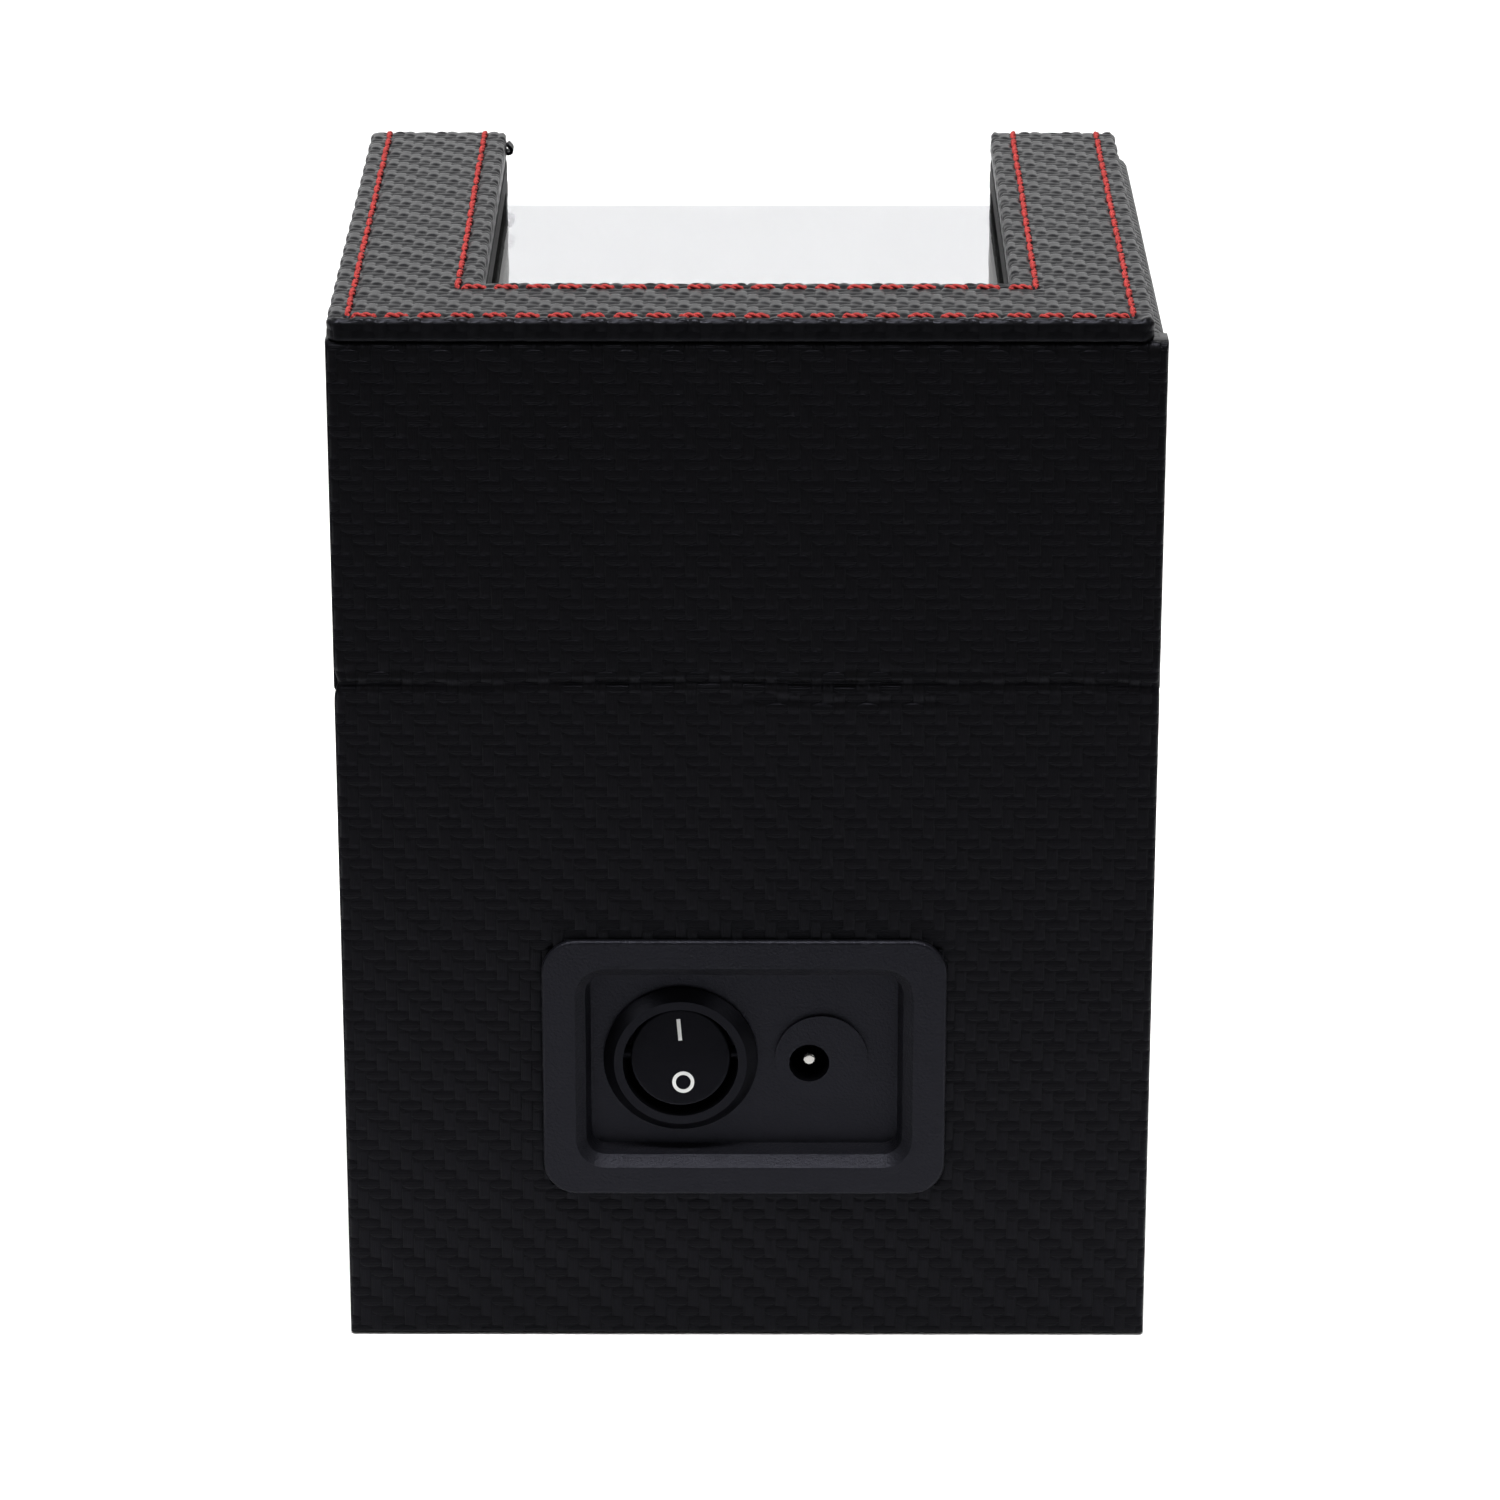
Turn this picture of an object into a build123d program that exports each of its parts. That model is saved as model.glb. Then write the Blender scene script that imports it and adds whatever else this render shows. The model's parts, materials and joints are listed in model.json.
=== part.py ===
from build123d import *

import os
from math import cos, radians, sin, tan

# Watch winder box for one watch. +Z is up, the front faces -Y, and the origin is the middle of the
# underside. The lid meets the base on a plane that falls from the rear crease to the front.

# ---- driving dimensions, mm ----
HALF_WIDTH = 60.0
REAR_Y = 52.1
FRONT_Y = -53.0
HEIGHT = 160.0
HINGE_Z = 103.6
SPLIT_ANGLE = 25.0
LEATHER = 0.8
BOARD = 5.0
LINING = 0.8
RIM_GAP = 0.2
FELT_PROUD = 0.2

PANEL_THICK = 3.4
PANEL_WIDTH = 117.8
PANEL_SHIFT_X = 0.9
NOTCH_WIDTH = 76.6
REAR_BAR = 19.3
PANE_THICK = 2.0
PANE_TOP_Z = 152.2
PANE_LAP = 6.0
SILL_Z = 74.0
FRONT_BOARD = 4.4
TOP_BOARD = 3.6

DECK_DROP = 2.0
DECK_BOARD = 3.0
CUP_Y = -2.7
CUP_R = 40.0
CUP_DEPTH = 28.0
CUP_WALL = 2.0
DECK_HOLE_R = 41.0
PILLOW_WIDTH = 68.0
PILLOW_DEPTH = 52.0
PILLOW_RISE = 17.0

PANEL_CENTRE_X = 0.4
PLATE_Z = 44.35
PLATE_PROUD = 0.9
SWITCH_X = 9.9
INLET_X = -11.1
FITTING_Z = 44.4
ROCKER_TILT = 8.6

RUNNING = 0.05
GEAR_MODULE = 0.4
BIG_TEETH = 30
SMALL_TEETH = 10
PULLEY_BIG = 16.0
PULLEY_SMALL = 4.0
OUTPUT_X = -32.0

os.makedirs("parts", exist_ok=True)

# ---- planes and places worked out from them ----
NORMAL = (0, -sin(radians(SPLIT_ANGLE)), cos(radians(SPLIT_ANGLE)))
split_plane = Plane(origin=(0, REAR_Y, HINGE_Z), x_dir=(1, 0, 0), z_dir=NORMAL)
deck_cup_z = HINGE_Z - DECK_DROP / cos(radians(SPLIT_ANGLE)) - (REAR_Y - CUP_Y) * tan(radians(SPLIT_ANGLE))
deck_plane = Plane(origin=(0, CUP_Y, deck_cup_z), x_dir=(1, 0, 0), z_dir=NORMAL)
deck_axis = Axis(deck_plane.origin, NORMAL)

side_out = HALF_WIDTH - LEATHER
side_in = side_out - BOARD
rear_out = REAR_Y - LEATHER
rear_in = rear_out - BOARD
front_out = FRONT_Y + LEATHER
front_in = front_out + BOARD
floor_low = FELT_PROUD + LEATHER
floor_top = floor_low + BOARD
panel_z = HEIGHT - PANEL_THICK
top_board_z = panel_z - LEATHER
lid_front_out = FRONT_Y + PANEL_THICK
lid_front_in = lid_front_out + FRONT_BOARD
notch_y = REAR_Y - REAR_BAR
notch_half = NOTCH_WIDTH / 2
pane_half = notch_half + PANE_LAP
pane_rear = notch_y + PANE_LAP
plate_face = REAR_Y + PLATE_PROUD


def keep(piece, name):
    """Labels a finished piece and writes its STEP file."""
    piece.part.label = name
    export_step(piece.part, f"parts/{name}.step")


def depth(down):
    """The plane parallel to the deck, this far below the deck's surface."""
    return deck_plane.offset(-down)


def block(xs, ys, zs, mode=Mode.ADD):
    """An upright block between pairs of coordinates, in the current part."""
    with BuildSketch(Plane.XY.offset(zs[0])) as profile:
        with Locations(((xs[0] + xs[1]) / 2, (ys[0] + ys[1]) / 2)):
            Rectangle(xs[1] - xs[0], ys[1] - ys[0])
    extrude(profile.sketch, amount=zs[1] - zs[0], mode=mode)


def disc(top, bottom, radius, at=(0, 0), mode=Mode.ADD):
    """A disc square to the deck, between two depths below its surface, in the current part."""
    with BuildSketch(depth(bottom)) as profile:
        with Locations(at):
            Circle(radius)
    extrude(profile.sketch, amount=bottom - top, mode=mode)


def below_split(gap):
    """Keeps what lies under the split plane, less a gap measured square to it."""
    split(bisect_by=split_plane.offset(-gap), keep=Keep.BOTTOM)


def above_split(gap):
    """Keeps what lies over the split plane, less a gap measured square to it."""
    split(bisect_by=split_plane.offset(gap), keep=Keep.TOP)


# ---- base carcass ----
FELT_X = 50.0
FELT_Y = 42.0
RIM_UNDER = RIM_GAP + LEATHER
PLATE_HOLE = (57.0, 38.0)
PLATE_HOLE_R = 4.0
MAGNET_R = 2.0
MAGNET_LONG = 3.0
MAGNET_Y = -38.0
magnet_x = (side_in + side_out) / 2
# Distance along the split plane from the crease to the magnets.
magnet_t = (MAGNET_Y - REAR_Y) / cos(radians(SPLIT_ANGLE))


def magnet_pair(low, high, mode=Mode.ADD):
    """Two round magnets in the side boards, between two heights over the split plane."""
    with BuildSketch(split_plane.offset(low)) as profile:
        with Locations((-magnet_x, magnet_t), (magnet_x, magnet_t)):
            Circle(MAGNET_R)
    extrude(profile.sketch, amount=high - low, mode=mode)


def plate_hole():
    """The opening for the recess plate, cut through the rear wall."""
    with BuildSketch(Plane.XZ.offset(-HALF_WIDTH)) as profile:
        with Locations((PANEL_CENTRE_X, PLATE_Z)):
            RectangleRounded(*PLATE_HOLE, PLATE_HOLE_R)
    extrude(profile.sketch, amount=HALF_WIDTH - rear_in + 1, mode=Mode.SUBTRACT)


with BuildPart() as base_floor:
    block((-side_out, side_out), (front_out, rear_out), (floor_low, floor_top))
keep(base_floor, "base_floor")

with BuildPart() as base_front_board:
    block((-side_in, side_in), (front_out, front_in), (floor_top, HINGE_Z))
    below_split(RIM_UNDER)
keep(base_front_board, "base_front_board")

with BuildPart() as base_rear_board:
    block((-side_in, side_in), (rear_in, rear_out), (floor_top, HINGE_Z))
    below_split(RIM_UNDER)
    plate_hole()
keep(base_rear_board, "base_rear_board")

with BuildPart() as base_side_boards:
    for side in (-1, 1):
        block(sorted((side * side_in, side * side_out)), (front_out, rear_out), (floor_top, HINGE_Z))
    below_split(RIM_UNDER)
    magnet_pair(-RIM_UNDER - MAGNET_LONG, -RIM_UNDER, mode=Mode.SUBTRACT)
keep(base_side_boards, "base_side_boards")

with BuildPart() as base_magnets:
    magnet_pair(-RIM_UNDER - MAGNET_LONG, -RIM_UNDER)
keep(base_magnets, "base_magnets")

# Leather over the sides, the front and the rim, turned in round the underside.
with BuildPart() as base_wrap:
    block((-HALF_WIDTH, HALF_WIDTH), (FRONT_Y, rear_out), (FELT_PROUD, HINGE_Z))
    below_split(RIM_GAP)
    with BuildSketch(Plane.YZ.offset(-side_out)):
        with BuildLine():
            board_rim_z = HINGE_Z - RIM_UNDER / cos(radians(SPLIT_ANGLE))
            rear_rim_z = board_rim_z - LEATHER * tan(radians(SPLIT_ANGLE))
            front_rim_z = board_rim_z - (REAR_Y - front_out) * tan(radians(SPLIT_ANGLE))
            Polyline(
                (front_out, floor_low),
                (rear_out, floor_low),
                (rear_out, rear_rim_z),
                (front_out, front_rim_z),
                close=True,
            )
        make_face()
    extrude(amount=2 * side_out, mode=Mode.SUBTRACT)
    block((-side_in, side_in), (front_in, rear_in), (floor_low, HINGE_Z), mode=Mode.SUBTRACT)
    block((-FELT_X, FELT_X), (-FELT_Y, rear_out), (FELT_PROUD, floor_low), mode=Mode.SUBTRACT)
keep(base_wrap, "base_wrap")

with BuildPart() as base_rear_cover:
    block((-HALF_WIDTH, HALF_WIDTH), (rear_out, REAR_Y), (FELT_PROUD, HINGE_Z))
    below_split(RIM_GAP)
    plate_hole()
    block((-FELT_X, FELT_X), (FELT_Y, rear_out), (FELT_PROUD, floor_low))
keep(base_rear_cover, "base_rear_cover")

with BuildPart() as base_felt:
    block((-FELT_X, FELT_X), (-FELT_Y, FELT_Y), (0, floor_low))
keep(base_felt, "base_felt")

# ---- deck, parallel to the split plane ----
DECK_EDGE = 0.3
PILOT_R = 1.2
PILOT_FLOOR = 0.6
CLEAT = 6.0
TRIM_R = 44.5
TRIM_RISE = 1.5
TRIM_EDGE = 0.5
SCREW_X = 51.3
SCREW_T = 10.0
deck_under = LINING + DECK_BOARD
deck_lean = deck_under * sin(radians(SPLIT_ANGLE))
deck_rear_t = (rear_in - DECK_EDGE - CUP_Y - deck_lean) / cos(radians(SPLIT_ANGLE))
deck_front_t = (front_in + DECK_EDGE - CUP_Y) / cos(radians(SPLIT_ANGLE))


def deck_sheet(top, bottom):
    """A sheet of the deck's outline with the cup's hole in it."""
    with BuildSketch(depth(bottom)) as profile:
        with Locations((0, (deck_rear_t + deck_front_t) / 2)):
            Rectangle(2 * (side_in - DECK_EDGE), deck_rear_t - deck_front_t)
        Circle(DECK_HOLE_R, mode=Mode.SUBTRACT)
    extrude(profile.sketch, amount=bottom - top)


def bracket_screw_places():
    """The four fixing places of the bracket's feet, across and along the deck."""
    return GridLocations(2 * SCREW_X, 2 * SCREW_T, 2, 2)


with BuildPart() as deck_board:
    deck_sheet(LINING, deck_under)
    with BuildSketch(depth(deck_under)):
        with bracket_screw_places():
            Circle(PILOT_R)
    extrude(amount=DECK_BOARD - PILOT_FLOOR, mode=Mode.SUBTRACT)
keep(deck_board, "deck_board")

with BuildPart() as deck_lining:
    deck_sheet(0, LINING)
keep(deck_lining, "deck_lining")

with BuildPart() as deck_cleats:
    for wall_y, inward in ((rear_in, -1), (front_in, 1)):
        cleat_top = deck_cup_z - deck_under / cos(radians(SPLIT_ANGLE))
        cleat_ys = sorted((wall_y, wall_y + inward * CLEAT))
        lower_z = cleat_top + (cleat_ys[0] - CUP_Y) * tan(radians(SPLIT_ANGLE))
        upper_z = cleat_top + (cleat_ys[1] - CUP_Y) * tan(radians(SPLIT_ANGLE))
        with BuildSketch(Plane.YZ.offset(-side_in)):
            with BuildLine():
                Polyline(
                    (cleat_ys[0], lower_z - CLEAT),
                    (cleat_ys[1], lower_z - CLEAT),
                    (cleat_ys[1], upper_z),
                    (cleat_ys[0], lower_z),
                    close=True,
                )
            make_face()
        extrude(amount=2 * side_in)
keep(deck_cleats, "deck_cleats")

with BuildPart() as trim_ring:
    with BuildSketch(deck_plane):
        Circle(TRIM_R)
        Circle(DECK_HOLE_R, mode=Mode.SUBTRACT)
    extrude(amount=TRIM_RISE)
    trim_edges = trim_ring.edges().filter_by(GeomType.CIRCLE).group_by(deck_axis)[-1]
    fillet(trim_edges, TRIM_EDGE)
keep(trim_ring, "trim_ring")

# ---- cup, its spindle and the pillow ----
CUP_LINING = 0.6
CUP_FOOT_R = 3.0
LINING_DROP = 1.0
SCREW_ROOM = 1.0
SPINDLE_R = 2.5
SPINDLE_END = 51.0
FLANGE_R = 8.0
FLANGE_THICK = 1.5
CUP_SCREW_R = 1.25
CUP_SCREW_HEAD_R = 3.0
CUP_SCREW_HEAD = 1.6
CUP_SCREW_END = 36.0
CUP_SOCKET_R = 1.0
CUP_SOCKET_FLOOR = 0.1
PULLEY_WIDE = 4.0
BELT_WIDE = 2.0
BELT_THICK = 1.2
BELT_GAP = 0.2
PULLEY_LIP = 1.0
HUB_R = 4.0
HUB_LONG = 0.9
CLIP_TOP = 48.6
CLIP_THICK = 0.8
CLIP_R = 4.6
CLIP_NECK_R = 2.0
CLIP_MOUTH = (3.2, 5.0)
WHEEL_HOLES = 5
WHEEL_HOLE_R = 2.6
WHEEL_HOLE_PITCH_R = 8.96
cup_floor = CUP_DEPTH - CUP_WALL
lining_floor = cup_floor - LINING
pulley_top = CUP_DEPTH + FLANGE_THICK
pulley_bottom = pulley_top + PULLEY_WIDE
belt_mid = (pulley_top + pulley_bottom) / 2

with BuildPart() as cup:
    disc(0, CUP_DEPTH, CUP_R)
    disc(0, cup_floor, CUP_R - CUP_WALL, mode=Mode.SUBTRACT)
    disc(cup_floor, CUP_DEPTH, CUP_SCREW_R, mode=Mode.SUBTRACT)
    cup_foot = cup.edges().filter_by(GeomType.CIRCLE).group_by(deck_axis)[0]
    fillet(cup_foot.sort_by(SortBy.LENGTH)[-1], CUP_FOOT_R)
keep(cup, "cup")

with BuildPart() as cup_lining:
    disc(LINING_DROP, cup_floor, CUP_R - CUP_WALL)
    disc(LINING_DROP, lining_floor, CUP_R - CUP_WALL - CUP_LINING, mode=Mode.SUBTRACT)
    disc(lining_floor, cup_floor, CUP_SCREW_HEAD_R + SCREW_ROOM, mode=Mode.SUBTRACT)
keep(cup_lining, "cup_lining")

with BuildPart() as cup_screw:
    disc(cup_floor, CUP_SCREW_END, CUP_SCREW_R)
    disc(cup_floor - CUP_SCREW_HEAD / 2, cup_floor, CUP_SCREW_HEAD_R)
    disc(cup_floor - CUP_SCREW_HEAD / 2, cup_floor - CUP_SOCKET_FLOOR, CUP_SOCKET_R, mode=Mode.SUBTRACT)
keep(cup_screw, "cup_screw")

with BuildPart() as spindle:
    disc(CUP_DEPTH, SPINDLE_END, SPINDLE_R)
    disc(CUP_DEPTH, pulley_top, FLANGE_R)
    disc(CUP_DEPTH, CUP_SCREW_END, CUP_SCREW_R, mode=Mode.SUBTRACT)
    with BuildSketch(depth(CLIP_TOP + CLIP_THICK)):
        Circle(SPINDLE_R)
        Circle(CLIP_NECK_R, mode=Mode.SUBTRACT)
    extrude(amount=CLIP_THICK, mode=Mode.SUBTRACT)
keep(spindle, "spindle")

with BuildPart() as spindle_clip:
    disc(CLIP_TOP, CLIP_TOP + CLIP_THICK, CLIP_R)
    disc(CLIP_TOP, CLIP_TOP + CLIP_THICK, CLIP_NECK_R, mode=Mode.SUBTRACT)
    with BuildSketch(depth(CLIP_TOP + CLIP_THICK)):
        with Locations((0, CLIP_R / 2)):
            Rectangle(*CLIP_MOUTH)
    extrude(amount=CLIP_THICK, mode=Mode.SUBTRACT)
keep(spindle_clip, "spindle_clip")


def pulley(pitch, bore, at=(0, 0)):
    """A grooved pulley for the square belt, in the current part."""
    groove = pitch - BELT_THICK / 2 - BELT_GAP
    half_groove = BELT_WIDE / 2 + BELT_GAP
    disc(pulley_top, pulley_bottom, pitch + PULLEY_LIP, at)
    with BuildSketch(depth(belt_mid + half_groove)) as profile:
        with Locations(at):
            Circle(pitch + PULLEY_LIP)
            Circle(groove, mode=Mode.SUBTRACT)
    extrude(profile.sketch, amount=2 * half_groove, mode=Mode.SUBTRACT)
    disc(pulley_top, pulley_bottom, bore, at, mode=Mode.SUBTRACT)


with BuildPart() as spindle_pulley:
    pulley(PULLEY_BIG, SPINDLE_R)
    with BuildSketch(depth(pulley_bottom + HUB_LONG)):
        Circle(HUB_R)
        Circle(SPINDLE_R, mode=Mode.SUBTRACT)
    extrude(amount=HUB_LONG)
    with BuildSketch(depth(pulley_bottom)):
        with PolarLocations(WHEEL_HOLE_PITCH_R, WHEEL_HOLES):
            Circle(WHEEL_HOLE_R)
    extrude(amount=PULLEY_WIDE, mode=Mode.SUBTRACT)
keep(spindle_pulley, "spindle_pulley")

# The pillow: its corners are round enough to turn inside the cup's lining.
PILLOW_CORNER = 16.0
PILLOW_EDGE = 8.0
PILLOW_GAP = 0.3
with BuildPart() as watch_pillow:
    with BuildSketch(depth(lining_floor - PILLOW_GAP)):
        RectangleRounded(PILLOW_WIDTH, PILLOW_DEPTH, PILLOW_CORNER)
    extrude(amount=lining_floor - PILLOW_GAP + PILLOW_RISE)
    pillow_ends = watch_pillow.faces().filter_by(Plane(origin=(0, 0, 0), x_dir=(1, 0, 0), z_dir=NORMAL))
    fillet(pillow_ends.edges(), PILLOW_EDGE)
keep(watch_pillow, "watch_pillow")

# ---- bracket and spindle bearing ----
STEEL = 1.5
WEB_TOP = 36.0
BRACKET_X = 48.5
BRACKET_T = 15.0
FOOT_X = 54.0
HOUSING_R = 7.0
HOUSING_TOP = 35.0
HOUSING_BOTTOM = 48.0
HOUSING_FLANGE_R = 10.0
BUSH_R = 4.0
BUSH_TOP = 34.6
BUSH_BOTTOM = 48.3
FOOT_SCREW_R = 1.2
FOOT_SCREW_HEAD_R = 2.4
FOOT_SCREW_HEAD = 1.5
FOOT_SCREW_SLOT = (2.8, 0.7)
SLOT_DEEP = 0.8
SHAFT_CLEARANCE_R = 2.0
GEARBOX_SCREWS = ((-45.6, -7.6), (-26.4, -7.6))
GEARBOX_SCREW_R = 1.0
web_bottom = WEB_TOP + STEEL
foot_bottom = deck_under + STEEL

with BuildPart() as drive_bracket:
    with BuildSketch(Plane(origin=deck_plane.origin, x_dir=(1, 0, 0), z_dir=deck_plane.y_dir)) as bracket_face:
        with BuildLine():
            Polyline(
                (-FOOT_X, deck_under),
                (-BRACKET_X + STEEL, deck_under),
                (-BRACKET_X + STEEL, WEB_TOP),
                (BRACKET_X - STEEL, WEB_TOP),
                (BRACKET_X - STEEL, deck_under),
                (FOOT_X, deck_under),
                (FOOT_X, foot_bottom),
                (BRACKET_X, foot_bottom),
                (BRACKET_X, web_bottom),
                (-BRACKET_X, web_bottom),
                (-BRACKET_X, foot_bottom),
                (-FOOT_X, foot_bottom),
                close=True,
            )
        make_face()
    extrude(amount=BRACKET_T, both=True)
    disc(WEB_TOP, web_bottom, HOUSING_R, mode=Mode.SUBTRACT)
    disc(WEB_TOP, web_bottom, SHAFT_CLEARANCE_R, (OUTPUT_X, 0), mode=Mode.SUBTRACT)
    with BuildSketch(depth(foot_bottom)):
        with bracket_screw_places():
            Circle(FOOT_SCREW_R + RUNNING)
    extrude(amount=STEEL, mode=Mode.SUBTRACT)
    for screw_at in GEARBOX_SCREWS:
        disc(WEB_TOP, web_bottom, GEARBOX_SCREW_R + RUNNING, screw_at, mode=Mode.SUBTRACT)
keep(drive_bracket, "drive_bracket")

with BuildPart() as bracket_screws:
    with BuildSketch(depth(foot_bottom)):
        with bracket_screw_places():
            Circle(FOOT_SCREW_R)
    extrude(amount=foot_bottom - LINING - PILOT_FLOOR)
    with BuildSketch(depth(foot_bottom + FOOT_SCREW_HEAD)):
        with bracket_screw_places():
            Circle(FOOT_SCREW_HEAD_R)
    extrude(amount=FOOT_SCREW_HEAD)
    with BuildSketch(depth(foot_bottom + FOOT_SCREW_HEAD)):
        with bracket_screw_places():
            Rectangle(*FOOT_SCREW_SLOT)
            Rectangle(*reversed(FOOT_SCREW_SLOT))
    extrude(amount=SLOT_DEEP, mode=Mode.SUBTRACT)
keep(bracket_screws, "bracket_screws")

with BuildPart() as bearing_housing:
    disc(HOUSING_TOP, HOUSING_BOTTOM, HOUSING_R)
    disc(web_bottom, web_bottom + STEEL, HOUSING_FLANGE_R)
    disc(HOUSING_TOP, HOUSING_BOTTOM, BUSH_R, mode=Mode.SUBTRACT)
keep(bearing_housing, "bearing_housing")

with BuildPart() as spindle_bush:
    disc(BUSH_TOP, BUSH_BOTTOM, BUSH_R)
    disc(BUSH_TOP, BUSH_BOTTOM, SPINDLE_R + RUNNING, mode=Mode.SUBTRACT)
keep(spindle_bush, "spindle_bush")

# ---- gear motor, hung under the bracket's web ----
TIP = 0.8 * GEAR_MODULE
ROOT = 1.25 * GEAR_MODULE
TOOTH_BASE = 0.62
TOOTH_ANGLE = 76.0
GEARBOX_CENTRE = (-36.0, 0.25)
GEARBOX_SIZE = (25.0, 21.5)
GEARBOX_WALL = 1.2
GEARBOX_CORNER = 3.0
UPPER_GEARS = (39.5, 42.0)
LOWER_GEARS = (43.0, 45.5)
CASE_BOTTOM = 47.2
COVER_BOTTOM = 48.7
BOSS_R = 2.0
GEARBOX_SCREW_HEAD_R = 1.8
GEARBOX_SCREW_HEAD = 1.3
SHAFT_R = 1.2
JOURNAL_R = 1.0
ARMATURE_SHAFT_R = 0.75
CAN_R = 12.0
CAN_WALL = 1.0
CAN_LONG = 18.0
CAP_THICK = 2.0
ROTOR_R = 6.0
ROTOR_SLOT_R = 1.2
ROTOR_SLOTS = 5
ROTOR_END_GAP = 3.0
CAP_INSET = 0.4
CAP_FACE = 0.6
SHAFT_TIP = 0.8
SHAFT_END_GAP = 0.4
PART_LAP = 0.3
BOX_SCREW_LONG = 0.8
NOSE_CLEARANCE = 1.0
gearbox_inside = [size - 2 * GEARBOX_WALL for size in GEARBOX_SIZE]
gear_distance = GEAR_MODULE * (BIG_TEETH + SMALL_TEETH) / 2
idler_at = (OUTPUT_X - gear_distance, 0)
ARMATURE_TURN = 60.0
armature_at = (
    idler_at[0] + gear_distance * cos(radians(ARMATURE_TURN)),
    gear_distance * sin(radians(ARMATURE_TURN)),
)
can_bottom = COVER_BOTTOM + CAN_LONG
cap_bottom = can_bottom + CAP_THICK


def gear(teeth, levels, at, phase):
    """A spur gear with one tooth centred at the phase angle, in the current part."""
    root_r = GEAR_MODULE * teeth / 2 - ROOT
    tooth_long = TIP + ROOT + 0.1
    with BuildSketch(depth(levels[1])) as profile:
        with Locations(at):
            Circle(root_r)
            with PolarLocations(root_r - 0.1 + tooth_long / 2, teeth, phase):
                Trapezoid(TOOTH_BASE, tooth_long, TOOTH_ANGLE, rotation=-90)
    extrude(profile.sketch, amount=levels[1] - levels[0])


with BuildPart() as gearbox_case:
    with BuildSketch(depth(CASE_BOTTOM)):
        with Locations(GEARBOX_CENTRE):
            RectangleRounded(*GEARBOX_SIZE, GEARBOX_CORNER)
    extrude(amount=CASE_BOTTOM - web_bottom)
    with BuildSketch(depth(CASE_BOTTOM)):
        with Locations(GEARBOX_CENTRE):
            RectangleRounded(*gearbox_inside, GEARBOX_CORNER - GEARBOX_WALL)
    extrude(amount=CASE_BOTTOM - web_bottom - GEARBOX_WALL, mode=Mode.SUBTRACT)
    for screw_at in GEARBOX_SCREWS:
        disc(web_bottom, CASE_BOTTOM, BOSS_R, screw_at)
        disc(web_bottom, CASE_BOTTOM, GEARBOX_SCREW_R + RUNNING, screw_at, mode=Mode.SUBTRACT)
    disc(web_bottom, web_bottom + GEARBOX_WALL, SHAFT_R + RUNNING, (OUTPUT_X, 0), mode=Mode.SUBTRACT)
    disc(web_bottom, web_bottom + GEARBOX_WALL, JOURNAL_R + RUNNING, idler_at, mode=Mode.SUBTRACT)
keep(gearbox_case, "gearbox_case")

with BuildPart() as gearbox_cover:
    with BuildSketch(depth(COVER_BOTTOM)):
        with Locations(GEARBOX_CENTRE):
            RectangleRounded(*GEARBOX_SIZE, GEARBOX_CORNER)
        with Locations(*GEARBOX_SCREWS):
            Circle(GEARBOX_SCREW_R + RUNNING, mode=Mode.SUBTRACT)
        with Locations((OUTPUT_X, 0)):
            Circle(SHAFT_R + RUNNING, mode=Mode.SUBTRACT)
        with Locations(idler_at):
            Circle(JOURNAL_R + RUNNING, mode=Mode.SUBTRACT)
        with Locations(armature_at):
            Circle(ARMATURE_SHAFT_R + NOSE_CLEARANCE, mode=Mode.SUBTRACT)
    extrude(amount=COVER_BOTTOM - CASE_BOTTOM)
keep(gearbox_cover, "gearbox_cover")

with BuildPart() as gearbox_screws:
    for screw_at in GEARBOX_SCREWS:
        disc(WEB_TOP - BOX_SCREW_LONG, COVER_BOTTOM, GEARBOX_SCREW_R, screw_at)
        disc(COVER_BOTTOM, COVER_BOTTOM + GEARBOX_SCREW_HEAD, GEARBOX_SCREW_HEAD_R, screw_at)
keep(gearbox_screws, "gearbox_screws")

with BuildPart() as output_gear:
    gear(BIG_TEETH, UPPER_GEARS, (OUTPUT_X, 0), 180 + 180 / BIG_TEETH)
    disc(pulley_top - PART_LAP, COVER_BOTTOM - SHAFT_END_GAP, SHAFT_R, (OUTPUT_X, 0))
keep(output_gear, "output_gear")

with BuildPart() as motor_pulley:
    pulley(PULLEY_SMALL, SHAFT_R, (OUTPUT_X, 0))
keep(motor_pulley, "motor_pulley")

with BuildPart() as idler_gear:
    gear(SMALL_TEETH, (UPPER_GEARS[0], LOWER_GEARS[0]), idler_at, 0)
    gear(BIG_TEETH, LOWER_GEARS, idler_at, ARMATURE_TURN)
    disc(web_bottom + SHAFT_END_GAP, COVER_BOTTOM - SHAFT_END_GAP, JOURNAL_R, idler_at)
keep(idler_gear, "idler_gear")

with BuildPart() as motor_armature:
    gear(SMALL_TEETH, LOWER_GEARS, armature_at, ARMATURE_TURN + 180 + 180 / SMALL_TEETH)
    disc(LOWER_GEARS[0] - PART_LAP, cap_bottom - SHAFT_TIP, ARMATURE_SHAFT_R, armature_at)
    disc(COVER_BOTTOM + ROTOR_END_GAP, can_bottom - ROTOR_END_GAP, ROTOR_R, armature_at)
    with BuildSketch(depth(can_bottom - ROTOR_END_GAP)):
        with Locations(armature_at):
            with PolarLocations(ROTOR_R, ROTOR_SLOTS):
                Circle(ROTOR_SLOT_R)
    extrude(amount=CAN_LONG - 2 * ROTOR_END_GAP, mode=Mode.SUBTRACT)
keep(motor_armature, "motor_armature")

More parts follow.
